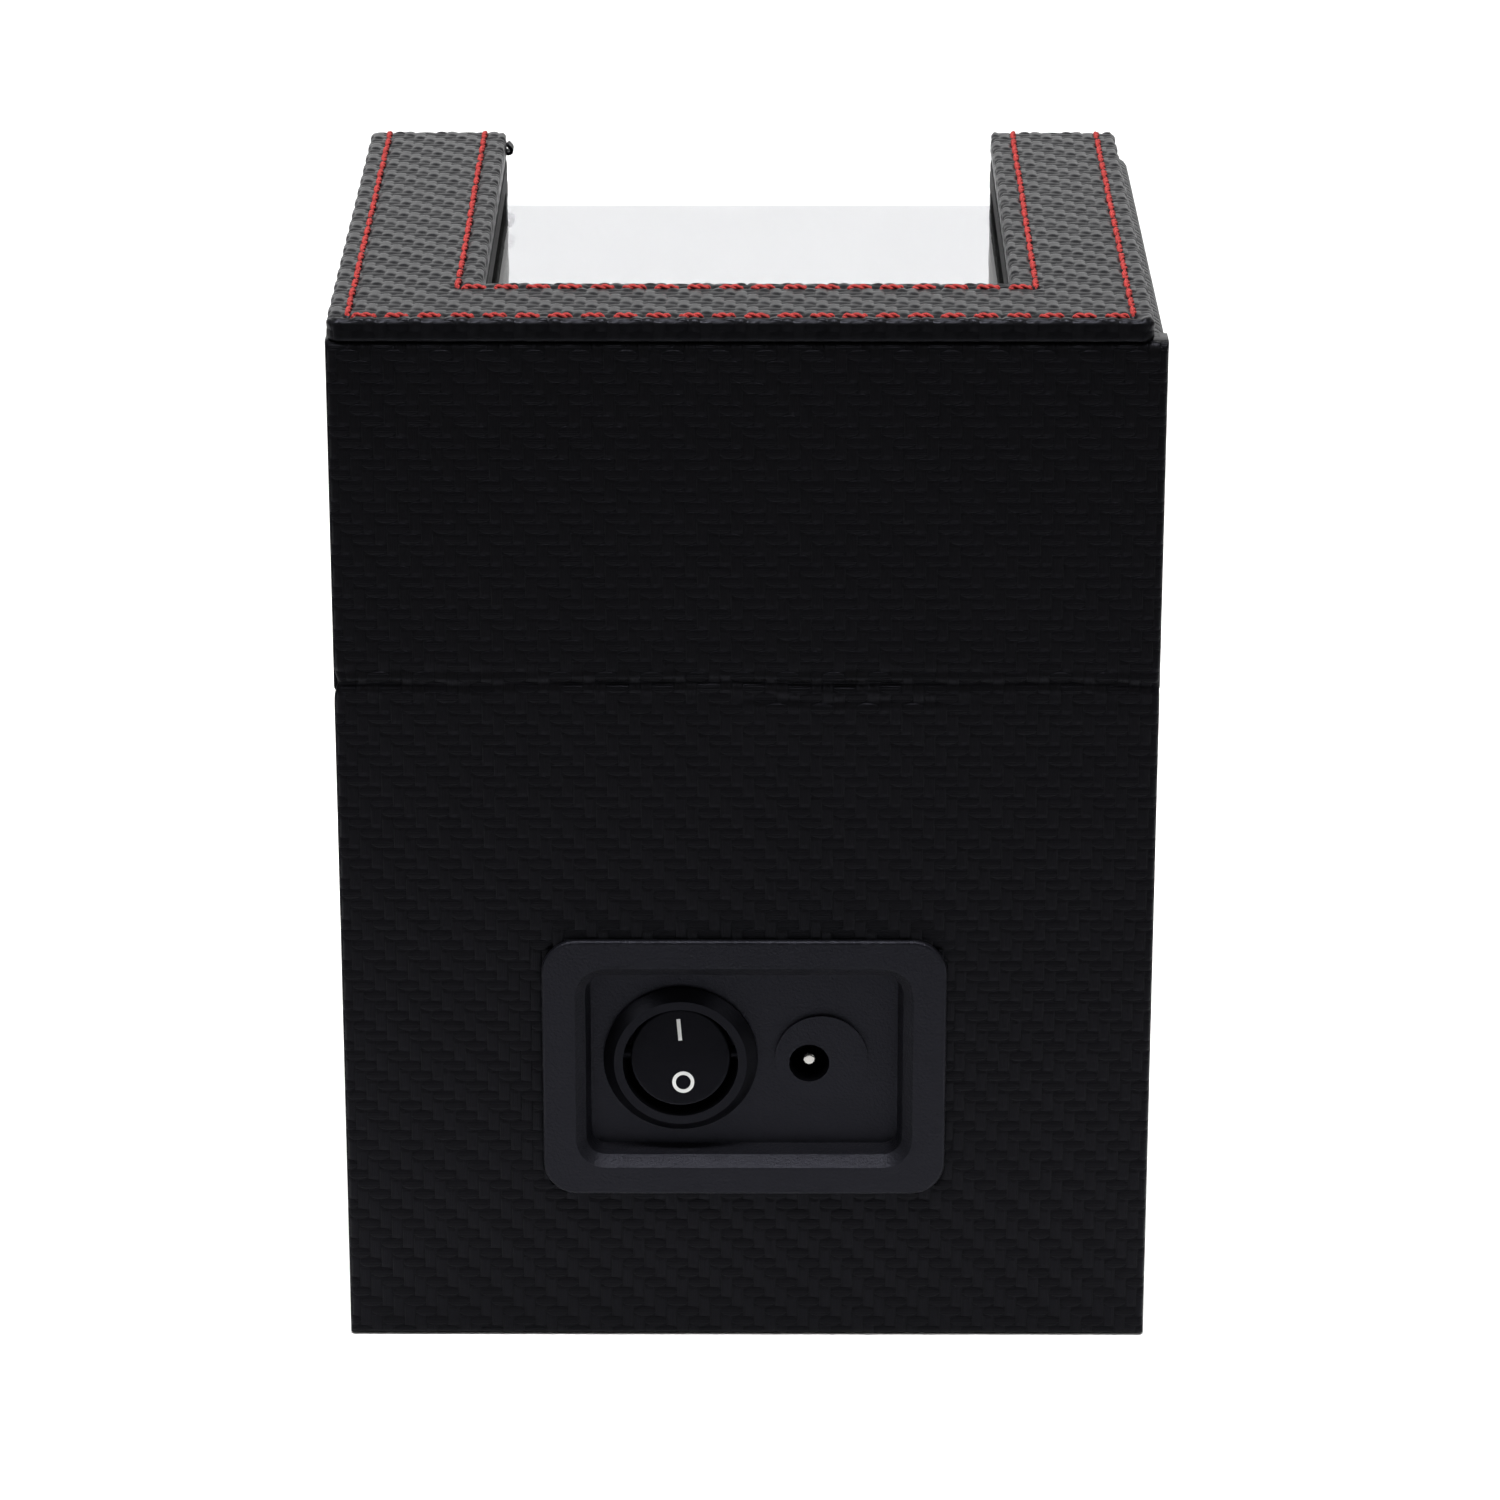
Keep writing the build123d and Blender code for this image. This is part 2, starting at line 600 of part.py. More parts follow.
with BuildPart() as motor_can:
    disc(COVER_BOTTOM, can_bottom, CAN_R, armature_at)
    disc(COVER_BOTTOM + CAN_WALL, can_bottom, CAN_R - CAN_WALL, armature_at, mode=Mode.SUBTRACT)
    disc(COVER_BOTTOM, COVER_BOTTOM + CAN_WALL, ARMATURE_SHAFT_R + RUNNING, armature_at, mode=Mode.SUBTRACT)
keep(motor_can, "motor_can")

with BuildPart() as motor_end_cap:
    disc(can_bottom, cap_bottom, CAN_R - CAP_INSET, armature_at)
    disc(can_bottom, cap_bottom - CAP_FACE, ARMATURE_SHAFT_R + RUNNING, armature_at, mode=Mode.SUBTRACT)
keep(motor_end_cap, "motor_end_cap")

TERMINAL_LONG = 2.6
TERMINAL_SIZE = (1.8, 0.5)
TERMINAL_SPAN = 10.0
with BuildPart() as motor_terminals:
    with BuildSketch(depth(cap_bottom + TERMINAL_LONG)):
        with Locations(armature_at):
            with GridLocations(TERMINAL_SPAN, 1, 2, 1):
                Rectangle(*TERMINAL_SIZE)
    extrude(amount=TERMINAL_LONG)
keep(motor_terminals, "motor_terminals")


def belt_outline(grow):
    """The belt's stadium-like outline, grown from its pitch line."""
    with BuildSketch(depth(belt_mid + BELT_WIDE / 2)) as profile:
        Circle(PULLEY_BIG + grow)
        with Locations((OUTPUT_X, 0)):
            Circle(PULLEY_SMALL + grow)
        make_hull()
    return profile.sketch


with BuildPart() as drive_belt:
    extrude(belt_outline(BELT_THICK / 2), amount=BELT_WIDE)
    extrude(belt_outline(-BELT_THICK / 2), amount=BELT_WIDE, mode=Mode.SUBTRACT)
keep(drive_belt, "drive_belt")

# ---- rear panel: recess plate, rocker switch and hollow-plug inlet ----
PLATE_SIZE = (60.0, 41.0)
PLATE_CORNER = 5.2
LIP_SIZE = (50.2, 32.2)
LIP_CORNER = 4.5
SHOULDER_INSET = 1.5
SHOULDER_DEPTH = 1.6
FLOOR_INSET = 2.2
RECESS_DEPTH = 4.3
PLATE_WALL = 1.6
SPIGOT_GAP = 0.3
PLATE_EDGE = 0.5
PLATE_INNER_CORNER = 2.4
SWITCH_HOLE_R = 10.1
INLET_HOLE_R = 6.2
recess_floor = plate_face - RECESS_DEPTH
recess_back = recess_floor - PLATE_WALL


def rear(y):
    """The plane across the rear panel at this Y, seen from outside: local X is world -X."""
    return Plane(origin=(0, y, 0), x_dir=(-1, 0, 0), z_dir=(0, 1, 0))


def plate_ring(size, corner, y, inset=0.0):
    """A rounded rectangle centred on the recess plate."""
    with BuildSketch(rear(y)) as profile:
        with Locations((-PANEL_CENTRE_X, PLATE_Z)):
            RectangleRounded(size[0] - 2 * inset, size[1] - 2 * inset, max(corner - inset, PLATE_INNER_CORNER))
    return profile.sketch


def barrel(centre_x, ys, radius, mode=Mode.ADD, at_z=FITTING_Z):
    """A round barrel square to the rear panel between two Y values, in the current part."""
    with BuildSketch(rear(ys[0])) as profile:
        with Locations((-centre_x, at_z)):
            Circle(radius)
    extrude(profile.sketch, amount=ys[1] - ys[0], mode=mode)


with BuildPart() as recess_plate:
    extrude(plate_ring(PLATE_SIZE, PLATE_CORNER, REAR_Y), amount=PLATE_PROUD)
    extrude(plate_ring(PLATE_HOLE, PLATE_HOLE_R, recess_back, SPIGOT_GAP), amount=REAR_Y - recess_back)
    front_edges = recess_plate.faces().sort_by(Axis.Y)[-1].outer_wire().edges()
    fillet(front_edges, PLATE_EDGE)
    loft(
        [
            plate_ring(LIP_SIZE, LIP_CORNER, plate_face),
            plate_ring(LIP_SIZE, LIP_CORNER, plate_face - SHOULDER_DEPTH, SHOULDER_INSET),
        ],
        mode=Mode.SUBTRACT,
    )
    loft(
        [
            plate_ring(LIP_SIZE, LIP_CORNER, plate_face - SHOULDER_DEPTH, SHOULDER_INSET),
            plate_ring(LIP_SIZE, LIP_CORNER, recess_floor, FLOOR_INSET),
        ],
        mode=Mode.SUBTRACT,
    )
    barrel(SWITCH_X, (recess_back, recess_floor), SWITCH_HOLE_R, mode=Mode.SUBTRACT)
    barrel(INLET_X, (recess_back, recess_floor), INLET_HOLE_R, mode=Mode.SUBTRACT)
keep(recess_plate, "recess_plate")

BEZEL_R = 11.5
BEZEL_TOP_R = 9.9
BEZEL_HIGH = 2.2
BEZEL_RIM = 0.5
BEZEL_MOUTH_R = 8.6
SWITCH_BODY_R = 10.0
SWITCH_DEEP = 12.0
SWITCH_BACK = 1.5
ROCKER_R = 7.45
ROCKER_THICK = 4.4
ROCKER_FACE = 3.2
TRUNNION_R = 1.0
TRUNNION_END = 9.3
TRUNNION_GAP = 0.1
ROCKER_EDGE = 0.35
bezel_face = recess_floor + BEZEL_HIGH
switch_end = recess_floor - SWITCH_DEEP
rocker_y = bezel_face - ROCKER_FACE * cos(radians(ROCKER_TILT)) - ROCKER_R * sin(radians(ROCKER_TILT))
trunnion_plane = Plane(origin=(SWITCH_X, rocker_y, FITTING_Z), z_dir=(1, 0, 0))

with BuildPart() as switch_body:
    barrel(SWITCH_X, (recess_floor, bezel_face), BEZEL_R)
    chamfer(
        switch_body.faces().sort_by(Axis.Y)[-1].edges(),
        length=BEZEL_HIGH - BEZEL_RIM,
        length2=BEZEL_R - BEZEL_TOP_R,
    )
    barrel(SWITCH_X, (switch_end, recess_floor), SWITCH_BODY_R)
    barrel(SWITCH_X, (switch_end + SWITCH_BACK, bezel_face), BEZEL_MOUTH_R, mode=Mode.SUBTRACT)
    with BuildSketch(trunnion_plane):
        Circle(TRUNNION_R + RUNNING)
    extrude(amount=TRUNNION_END, both=True, mode=Mode.SUBTRACT)
keep(switch_body, "switch_body")

# The rocker at rest is pressed in at its upper edge.
rocker_plane = Plane(
    origin=(SWITCH_X, rocker_y, FITTING_Z),
    x_dir=(-1, 0, 0),
    z_dir=(0, cos(radians(ROCKER_TILT)), sin(radians(ROCKER_TILT))),
)
with BuildPart() as rocker:
    with BuildSketch(rocker_plane.offset(ROCKER_FACE - ROCKER_THICK)):
        Circle(ROCKER_R)
    extrude(amount=ROCKER_THICK)
    fillet(rocker.faces().sort_by(Axis.Y)[-1].edges(), ROCKER_EDGE)
    with BuildSketch(trunnion_plane):
        Circle(TRUNNION_R)
    extrude(amount=TRUNNION_END - TRUNNION_GAP, both=True)
keep(rocker, "rocker")

SWITCH_TAB_LONG = 6.0
SWITCH_TAB_SPAN = 9.0
TAB_SIZE = (0.8, 4.8)
with BuildPart() as switch_terminals:
    with BuildSketch(rear(switch_end - SWITCH_TAB_LONG)):
        with Locations((-SWITCH_X, FITTING_Z)):
            with GridLocations(SWITCH_TAB_SPAN, 1, 2, 1):
                Rectangle(*TAB_SIZE)
    extrude(amount=SWITCH_TAB_LONG)
keep(switch_terminals, "switch_terminals")

COLLAR_R = 6.9
COLLAR_RISE = 0.5
INLET_BORE_R = 3.0
INLET_SHIFT_X = 1.8
INLET_DROP = 0.7
INLET_BODY = (13.0, 11.0)
INLET_DEEP = 11.0
INLET_SOCKET = 9.5
INLET_PIN_R = 1.05
INLET_PIN_LONG = 8.2
INLET_PIN_TIP = 0.5
INLET_FIT = 0.1
bore_x = INLET_X + INLET_SHIFT_X
bore_z = FITTING_Z - INLET_DROP
inlet_face = recess_floor + COLLAR_RISE
inlet_back = recess_back - INLET_DEEP
socket_end = inlet_face - INLET_SOCKET
with BuildPart() as inlet_body:
    barrel(INLET_X, (recess_back, recess_floor), INLET_HOLE_R - INLET_FIT)
    barrel(INLET_X, (recess_floor, inlet_face), COLLAR_R)
    with BuildSketch(rear(inlet_back)):
        with Locations((-INLET_X, FITTING_Z)):
            Rectangle(*INLET_BODY)
    extrude(amount=INLET_DEEP)
    barrel(bore_x, (socket_end, inlet_face), INLET_BORE_R, mode=Mode.SUBTRACT, at_z=bore_z)
keep(inlet_body, "inlet_body")

with BuildPart() as inlet_pin:
    barrel(bore_x, (socket_end, socket_end + INLET_PIN_LONG), INLET_PIN_R, at_z=bore_z)
    fillet(inlet_pin.faces().sort_by(Axis.Y)[-1].edges(), INLET_PIN_TIP)
keep(inlet_pin, "inlet_pin")

INLET_TAB_LONG = 3.0
INLET_TAB_SPAN = 6.0
INLET_TAB_SIZE = (0.5, 2.6)
with BuildPart() as inlet_terminals:
    with BuildSketch(rear(inlet_back - INLET_TAB_LONG)):
        with Locations((-INLET_X, FITTING_Z)):
            with GridLocations(INLET_TAB_SPAN, 1, 2, 1):
                Rectangle(*INLET_TAB_SIZE)
    extrude(amount=INLET_TAB_LONG)
keep(inlet_terminals, "inlet_terminals")

# ---- control board on the base's floor, and the internal leads ----
PCB_SIZE = (44.0, 26.0)
PCB_THICK = 1.6
PCB_Y = -31.0
STANDOFF_HIGH = 4.0
STANDOFF_R = 2.5
PCB_HOLE_R = 1.6
PCB_SCREW_R = 1.5
PCB_SCREW_HEAD_R = 2.7
PCB_SCREW_HEAD = 1.8
CONNECTOR_SIZE = (7.6, 5.0)
CONNECTOR_HIGH = 6.0
INLET_SOCKET_X = -4.0
MOTOR_SOCKET_X = -13.0
SWITCH_SOCKET_X = 12.0
PCB_CORNER = 1.5
PCB_FIXING_X = (-18.5, 18.5)
PCB_FIXING_Y = (-9.5, 5.0)
PCB_SCREW_TIP_GAP = 0.2
PCB_SCREW_SLOT = (3.2, 0.7)
PCB_SLOT_DEEP = 1.0
CHIP_AT = (-2.0, -1.0)
CHIP_SIZE = (10.0, 4.2)
CHIP_HIGH = 1.6
CAPACITORS_AT = ((11.0, -2.5), (-12.5, -3.5))
CAPACITOR_R = 3.2
CAPACITOR_HIGH = 8.0
RESISTORS_AT = (-1.0, -8.5)
RESISTOR_PITCH = 3.4
RESISTOR_SIZE = (1.3, 2.2)
RESISTOR_HIGH = 0.7
pcb_z = floor_top + STANDOFF_HIGH
pcb_top = pcb_z + PCB_THICK
board_plane = Plane(origin=(0, PCB_Y, pcb_top))
connector_y = PCB_Y + PCB_SIZE[1] / 2 - CONNECTOR_SIZE[1] / 2
lead_end_y = connector_y + CONNECTOR_SIZE[1] / 2
lead_end_z = pcb_top + CONNECTOR_HIGH / 2


def pcb_fixings():
    """The four fixing places of the board."""
    return [(x, PCB_Y + y) for x in PCB_FIXING_X for y in PCB_FIXING_Y]


with BuildPart() as control_board:
    with BuildSketch(Plane.XY.offset(pcb_z)):
        with Locations((0, PCB_Y)):
            RectangleRounded(*PCB_SIZE, PCB_CORNER)
        with Locations(*pcb_fixings()):
            Circle(PCB_HOLE_R, mode=Mode.SUBTRACT)
    extrude(amount=PCB_THICK)
keep(control_board, "control_board")

with BuildPart() as board_standoffs:
    with BuildSketch(Plane.XY.offset(floor_top)):
        with Locations(*pcb_fixings()):
            Circle(STANDOFF_R)
            Circle(PCB_SCREW_R, mode=Mode.SUBTRACT)
    extrude(amount=STANDOFF_HIGH)
keep(board_standoffs, "board_standoffs")

with BuildPart() as board_screws:
    with BuildSketch(Plane.XY.offset(pcb_top)):
        with Locations(*pcb_fixings()):
            Circle(PCB_SCREW_HEAD_R)
    extrude(amount=PCB_SCREW_HEAD)
    with BuildSketch(Plane.XY.offset(pcb_top)):
        with Locations(*pcb_fixings()):
            Circle(PCB_SCREW_R)
    extrude(amount=-(PCB_THICK + STANDOFF_HIGH - PCB_SCREW_TIP_GAP))
    with BuildSketch(Plane.XY.offset(pcb_top + PCB_SCREW_HEAD)):
        with Locations(*pcb_fixings()):
            Rectangle(*PCB_SCREW_SLOT)
            Rectangle(*reversed(PCB_SCREW_SLOT))
    extrude(amount=-PCB_SLOT_DEEP, mode=Mode.SUBTRACT)
keep(board_screws, "board_screws")

with BuildPart() as board_components:
    with BuildSketch(Plane.XY.offset(pcb_top)):
        for socket_x in (INLET_SOCKET_X, MOTOR_SOCKET_X, SWITCH_SOCKET_X):
            with Locations((socket_x, connector_y)):
                Rectangle(*CONNECTOR_SIZE)
    extrude(amount=CONNECTOR_HIGH)
    with BuildSketch(board_plane):
        with Locations(CHIP_AT):
            Rectangle(*CHIP_SIZE)
    extrude(amount=CHIP_HIGH)
    with BuildSketch(board_plane):
        with Locations(*CAPACITORS_AT):
            Circle(CAPACITOR_R)
    extrude(amount=CAPACITOR_HIGH)
    with BuildSketch(board_plane):
        with Locations(RESISTORS_AT):
            with GridLocations(RESISTOR_PITCH, 1, 4, 1):
                Rectangle(*RESISTOR_SIZE)
    extrude(amount=RESISTOR_HIGH)
keep(board_components, "board_components")

LEAD_R = 0.9
LEAD_BEND = 3.0
LEAD_FLOOR_GAP = 0.1
LEAD_RUN = 5.0
LEAD_DROP_Y = 7.0
LEAD_RISE_Y = 9.0
LEAD_LEVEL_Y = 6.0
lead_floor = floor_top + LEAD_R + LEAD_FLOOR_GAP


def lead(points, radii):
    """A round lead along straight runs joined by tangent arcs, in the current part."""
    with BuildLine() as route:
        FilletPolyline(*points, radius=radii)
    start = route.wire() @ 0
    heading = route.wire() % 0
    with BuildSketch(Plane(origin=start, z_dir=heading)) as section:
        Circle(LEAD_R)
    sweep(section.sketch, path=route.wire())


switch_tab_end = switch_end - SWITCH_TAB_LONG
switch_tab_x = SWITCH_X + SWITCH_TAB_SPAN / 2
switch_tab_z = FITTING_Z - LEAD_R - LEAD_FLOOR_GAP
with BuildPart() as switch_lead:
    lead(
        [
            (switch_tab_x, switch_tab_end, switch_tab_z),
            (switch_tab_x, switch_tab_end - LEAD_RUN, switch_tab_z),
            (switch_tab_x, switch_tab_end - LEAD_DROP_Y, lead_floor),
            (SWITCH_SOCKET_X, lead_end_y + LEAD_RISE_Y, lead_floor),
            (SWITCH_SOCKET_X, lead_end_y + LEAD_LEVEL_Y, lead_end_z),
            (SWITCH_SOCKET_X, lead_end_y, lead_end_z),
        ],
        LEAD_BEND,
    )
keep(switch_lead, "switch_lead")

inlet_tab_end = inlet_back - INLET_TAB_LONG
with BuildPart() as inlet_lead:
    lead(
        [
            (INLET_X - INLET_TAB_SPAN / 2, inlet_tab_end, FITTING_Z),
            (INLET_X - INLET_TAB_SPAN / 2, inlet_tab_end - LEAD_RUN, FITTING_Z),
            (INLET_X - INLET_TAB_SPAN / 3, inlet_tab_end - LEAD_DROP_Y, lead_floor),
            (INLET_SOCKET_X, lead_end_y + LEAD_RISE_Y, lead_floor),
            (INLET_SOCKET_X, lead_end_y + LEAD_LEVEL_Y, lead_end_z),
            (INLET_SOCKET_X, lead_end_y, lead_end_z),
        ],
        LEAD_BEND,
    )
keep(inlet_lead, "inlet_lead")

motor_tab = depth(cap_bottom + TERMINAL_LONG).from_local_coords(
    (armature_at[0] + TERMINAL_SPAN / 2, armature_at[1], 0)
)
motor_bend = motor_tab - Vector(*NORMAL) * 3.2
with BuildPart() as motor_lead:
    lead(
        [
            (motor_tab.X, motor_tab.Y, motor_tab.Z),
            (motor_bend.X, motor_bend.Y, motor_bend.Z),
            (motor_tab.X + 1.0, motor_tab.Y - 1.5, lead_floor + 0.8),
            (motor_tab.X + 6.0, motor_tab.Y - 8.0, lead_floor),
            (MOTOR_SOCKET_X - 3.0, lead_end_y + 12.0, lead_floor),
            (MOTOR_SOCKET_X, lead_end_y + 7.0, lead_end_z),
            (MOTOR_SOCKET_X, lead_end_y, lead_end_z),
        ],
        [0.9, 1.4, 4.0, 4.0, 3.0],
    )
keep(motor_lead, "motor_lead")

# ---- lid carcass ----
lid_ys = (lid_front_in, rear_out)


def window_notch(low, high):
    """Cuts the window's opening through the top, open at the front."""
    block((-notch_half, notch_half), (FRONT_Y - 1, notch_y), (low, high), mode=Mode.SUBTRACT)


with BuildPart() as lid_top_board:
    block((-side_out, side_out), lid_ys, (PANE_TOP_Z, top_board_z))
    window_notch(PANE_TOP_Z - 1, top_board_z + 1)
keep(lid_top_board, "lid_top_board")

with BuildPart() as lid_rear_board:
    block((-side_in, side_in), (rear_in, rear_out), (HINGE_Z - BOARD, PANE_TOP_Z))
    above_split(RIM_UNDER)
keep(lid_rear_board, "lid_rear_board")

with BuildPart() as lid_side_boards:
    for side in (-1, 1):
        block(sorted((side * side_in, side * side_out)), lid_ys, (floor_top, PANE_TOP_Z))
    above_split(RIM_UNDER)
    magnet_pair(RIM_UNDER, RIM_UNDER + MAGNET_LONG, mode=Mode.SUBTRACT)
keep(lid_side_boards, "lid_side_boards")

with BuildPart() as lid_magnets:
    magnet_pair(RIM_UNDER, RIM_UNDER + MAGNET_LONG)
keep(lid_magnets, "lid_magnets")

with BuildPart() as lid_front_board:
    block((-side_out, side_out), (lid_front_out, lid_front_in), (floor_top, top_board_z))
    above_split(RIM_UNDER)
    window_notch(SILL_Z, HEIGHT)
keep(lid_front_board, "lid_front_board")

# Leather over the sides, the top and the rim.
with BuildPart() as lid_wrap:
    block((-HALF_WIDTH, HALF_WIDTH), (lid_front_out, rear_out), (floor_top, panel_z))
    above_split(RIM_GAP)
    with BuildSketch(Plane.YZ.offset(-side_out)):
        with BuildLine():
            lid_rim_z = HINGE_Z + RIM_UNDER / cos(radians(SPLIT_ANGLE))
            Polyline(
                (lid_front_out, lid_rim_z - (REAR_Y - lid_front_out) * tan(radians(SPLIT_ANGLE))),
                (rear_out, lid_rim_z - LEATHER * tan(radians(SPLIT_ANGLE))),
                (rear_out, top_board_z),
                (lid_front_out, top_board_z),
                close=True,
            )
        make_face()
    extrude(amount=2 * side_out, mode=Mode.SUBTRACT)
    block((-side_in, side_in), (lid_front_in, rear_in), (floor_top, top_board_z), mode=Mode.SUBTRACT)
    window_notch(top_board_z - 1, HEIGHT)
keep(lid_wrap, "lid_wrap")

with BuildPart() as lid_rear_cover:
    block((-HALF_WIDTH, HALF_WIDTH), (rear_out, REAR_Y), (HINGE_Z - BOARD, panel_z))
    above_split(RIM_GAP)
keep(lid_rear_cover, "lid_rear_cover")

# ---- stitched panels on the lid's top and front ----
PANEL_CORNER = 1.5
PANEL_EDGE = 0.6
THREAD_WIDE = 0.7
THREAD_HIGH = 0.35
OUTER_ROW_SIDE = 3.0
OUTER_ROW_REAR = 2.3
INNER_ROW_SIDE = 3.5
INNER_ROW_REAR = 2.0
panel_low_x = PANEL_SHIFT_X - PANEL_WIDTH / 2
panel_high_x = PANEL_SHIFT_X + PANEL_WIDTH / 2
panel_front = FRONT_Y + 0.3
front_panel_top = panel_z - RIM_GAP

with BuildPart() as top_panel:
    block((panel_low_x, panel_high_x), (FRONT_Y, REAR_Y), (panel_z, HEIGHT))
    fillet(top_panel.edges().filter_by(Axis.Z).group_by(Axis.Y)[-1], PANEL_CORNER)
    window_notch(panel_z - 1, HEIGHT + 1)
    fillet(top_panel.faces().sort_by(Axis.Z)[-1].edges(), PANEL_EDGE)
keep(top_panel, "top_panel")

with BuildPart() as front_panel:
    block((panel_low_x, panel_high_x), (panel_front, lid_front_out), (floor_top, front_panel_top))
    above_split(2 * RIM_GAP)
    window_notch(SILL_Z, HEIGHT)
    fillet(front_panel.faces().sort_by(Axis.Y)[0].edges(), PANEL_EDGE)
keep(front_panel, "front_panel")

# Each row of stitching as one low bar along the panel.
row_rear = REAR_Y - OUTER_ROW_REAR
row_inner_rear = notch_y + INNER_ROW_REAR
row_foot = SILL_Z - INNER_ROW_REAR
front_low_z = HINGE_Z - (REAR_Y - panel_front) * tan(radians(SPLIT_ANGLE)) + OUTER_ROW_SIDE
with BuildPart() as panel_stitching:
    for side in (-1, 1):
        outer_x = PANEL_SHIFT_X + side * (PANEL_WIDTH / 2 - OUTER_ROW_SIDE)
        inner_x = side * (notch_half + INNER_ROW_SIDE)
        for row_x, row_back in ((outer_x, row_rear), (inner_x, row_inner_rear)):
            row_xs = (row_x - THREAD_WIDE / 2, row_x + THREAD_WIDE / 2)
            block(row_xs, (FRONT_Y + PANEL_EDGE, row_back), (HEIGHT, HEIGHT + THREAD_HIGH))
        for row_x, row_low in ((outer_x, front_low_z), (inner_x, row_foot)):
            row_xs = (row_x - THREAD_WIDE / 2, row_x + THREAD_WIDE / 2)
            block(row_xs, (panel_front - THREAD_HIGH, panel_front), (row_low, front_panel_top - PANEL_EDGE))
    outer_xs = (panel_low_x + OUTER_ROW_SIDE, panel_high_x - OUTER_ROW_SIDE)
    inner_xs = (-notch_half - INNER_ROW_SIDE, notch_half + INNER_ROW_SIDE)
    for row_xs, row_y, row_z in (
        (outer_xs, row_rear, front_low_z),
        (inner_xs, row_inner_rear, row_foot),
    ):
        block(row_xs, (row_y - THREAD_WIDE, row_y), (HEIGHT, HEIGHT + THREAD_HIGH))
        block(row_xs, (panel_front - THREAD_HIGH, panel_front), (row_z, row_z + THREAD_WIDE))
keep(panel_stitching, "panel_stitching")

# ---- window and lining ----
PANE_LOW_Z = SILL_Z - PANE_LAP
PANE_BEND = 1.5
GLUE_GAP = 0.2
with BuildPart() as window_pane:
    block((-pane_half, pane_half), (lid_front_in, pane_rear), (PANE_TOP_Z - PANE_THICK, PANE_TOP_Z))
    block((-pane_half, pane_half), (lid_front_in, lid_front_in + PANE_THICK), (PANE_LOW_Z, PANE_TOP_Z))
    fillet(window_pane.edges().filter_by(Axis.X).group_by(Axis.Z)[-1].sort_by(Axis.Y)[0], PANE_BEND)
keep(window_pane, "window_pane")

lining_x = side_in - LINING
lining_rear = rear_in - LINING
with BuildPart() as lid_lining:
    block((-side_in, side_in), (lid_front_in + GLUE_GAP, rear_in), (floor_top, PANE_TOP_Z))
    above_split(RIM_UNDER + GLUE_GAP)
    block(
        (-lining_x, lining_x),
        (FRONT_Y, lining_rear),
        (floor_top, PANE_TOP_Z - LINING),
        mode=Mode.SUBTRACT,
    )
    block(
        (-pane_half - GLUE_GAP, pane_half + GLUE_GAP),
        (FRONT_Y, pane_rear + GLUE_GAP),
        (floor_top, HEIGHT),
        mode=Mode.SUBTRACT,
    )
keep(lid_lining, "lid_lining")
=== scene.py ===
import json
import math
import random

import bmesh
import bpy
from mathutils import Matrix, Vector


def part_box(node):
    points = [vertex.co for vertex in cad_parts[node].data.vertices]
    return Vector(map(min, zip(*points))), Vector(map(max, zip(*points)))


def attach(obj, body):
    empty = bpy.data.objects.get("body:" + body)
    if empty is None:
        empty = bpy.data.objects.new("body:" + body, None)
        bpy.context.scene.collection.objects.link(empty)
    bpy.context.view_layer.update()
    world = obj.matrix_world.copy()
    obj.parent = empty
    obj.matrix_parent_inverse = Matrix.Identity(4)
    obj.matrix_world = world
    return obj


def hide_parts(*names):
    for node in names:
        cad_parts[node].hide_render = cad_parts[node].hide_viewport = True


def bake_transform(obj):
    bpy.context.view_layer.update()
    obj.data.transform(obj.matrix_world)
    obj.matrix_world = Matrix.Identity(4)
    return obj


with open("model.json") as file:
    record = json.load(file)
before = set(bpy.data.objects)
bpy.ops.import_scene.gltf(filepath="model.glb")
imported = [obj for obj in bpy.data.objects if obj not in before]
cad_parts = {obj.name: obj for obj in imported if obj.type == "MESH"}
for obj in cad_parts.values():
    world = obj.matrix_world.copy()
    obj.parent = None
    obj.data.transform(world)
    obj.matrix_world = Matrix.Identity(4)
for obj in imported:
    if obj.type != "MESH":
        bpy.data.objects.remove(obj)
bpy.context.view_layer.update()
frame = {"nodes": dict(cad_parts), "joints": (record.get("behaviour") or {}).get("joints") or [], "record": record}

MM = 0.001
TO_MM = 1000.0
random.seed(7)
nodes = frame["nodes"]
joints = {joint["name"]: joint for joint in frame["joints"]}
slot_of = {part["node"]: part["material_slot"] for part in frame["record"]["subparts"]}

# ---- places read from the frame, metres ----
hinge = Vector(joints["lid_hinge"]["pos_m"])
deck_normal = Vector(joints["cup_spin"]["axis"])
cover_low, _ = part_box("base_rear_cover")
_, cover_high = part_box("lid_rear_cover")
panel_low, panel_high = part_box("top_panel")
front_low, front_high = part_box("front_panel")
plate_low, plate_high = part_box("recess_plate")
pane_low, pane_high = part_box("window_pane")
rim_slope = -deck_normal.y / deck_normal.z


WHITE = (1.0, 1.0, 1.0, 1.0)


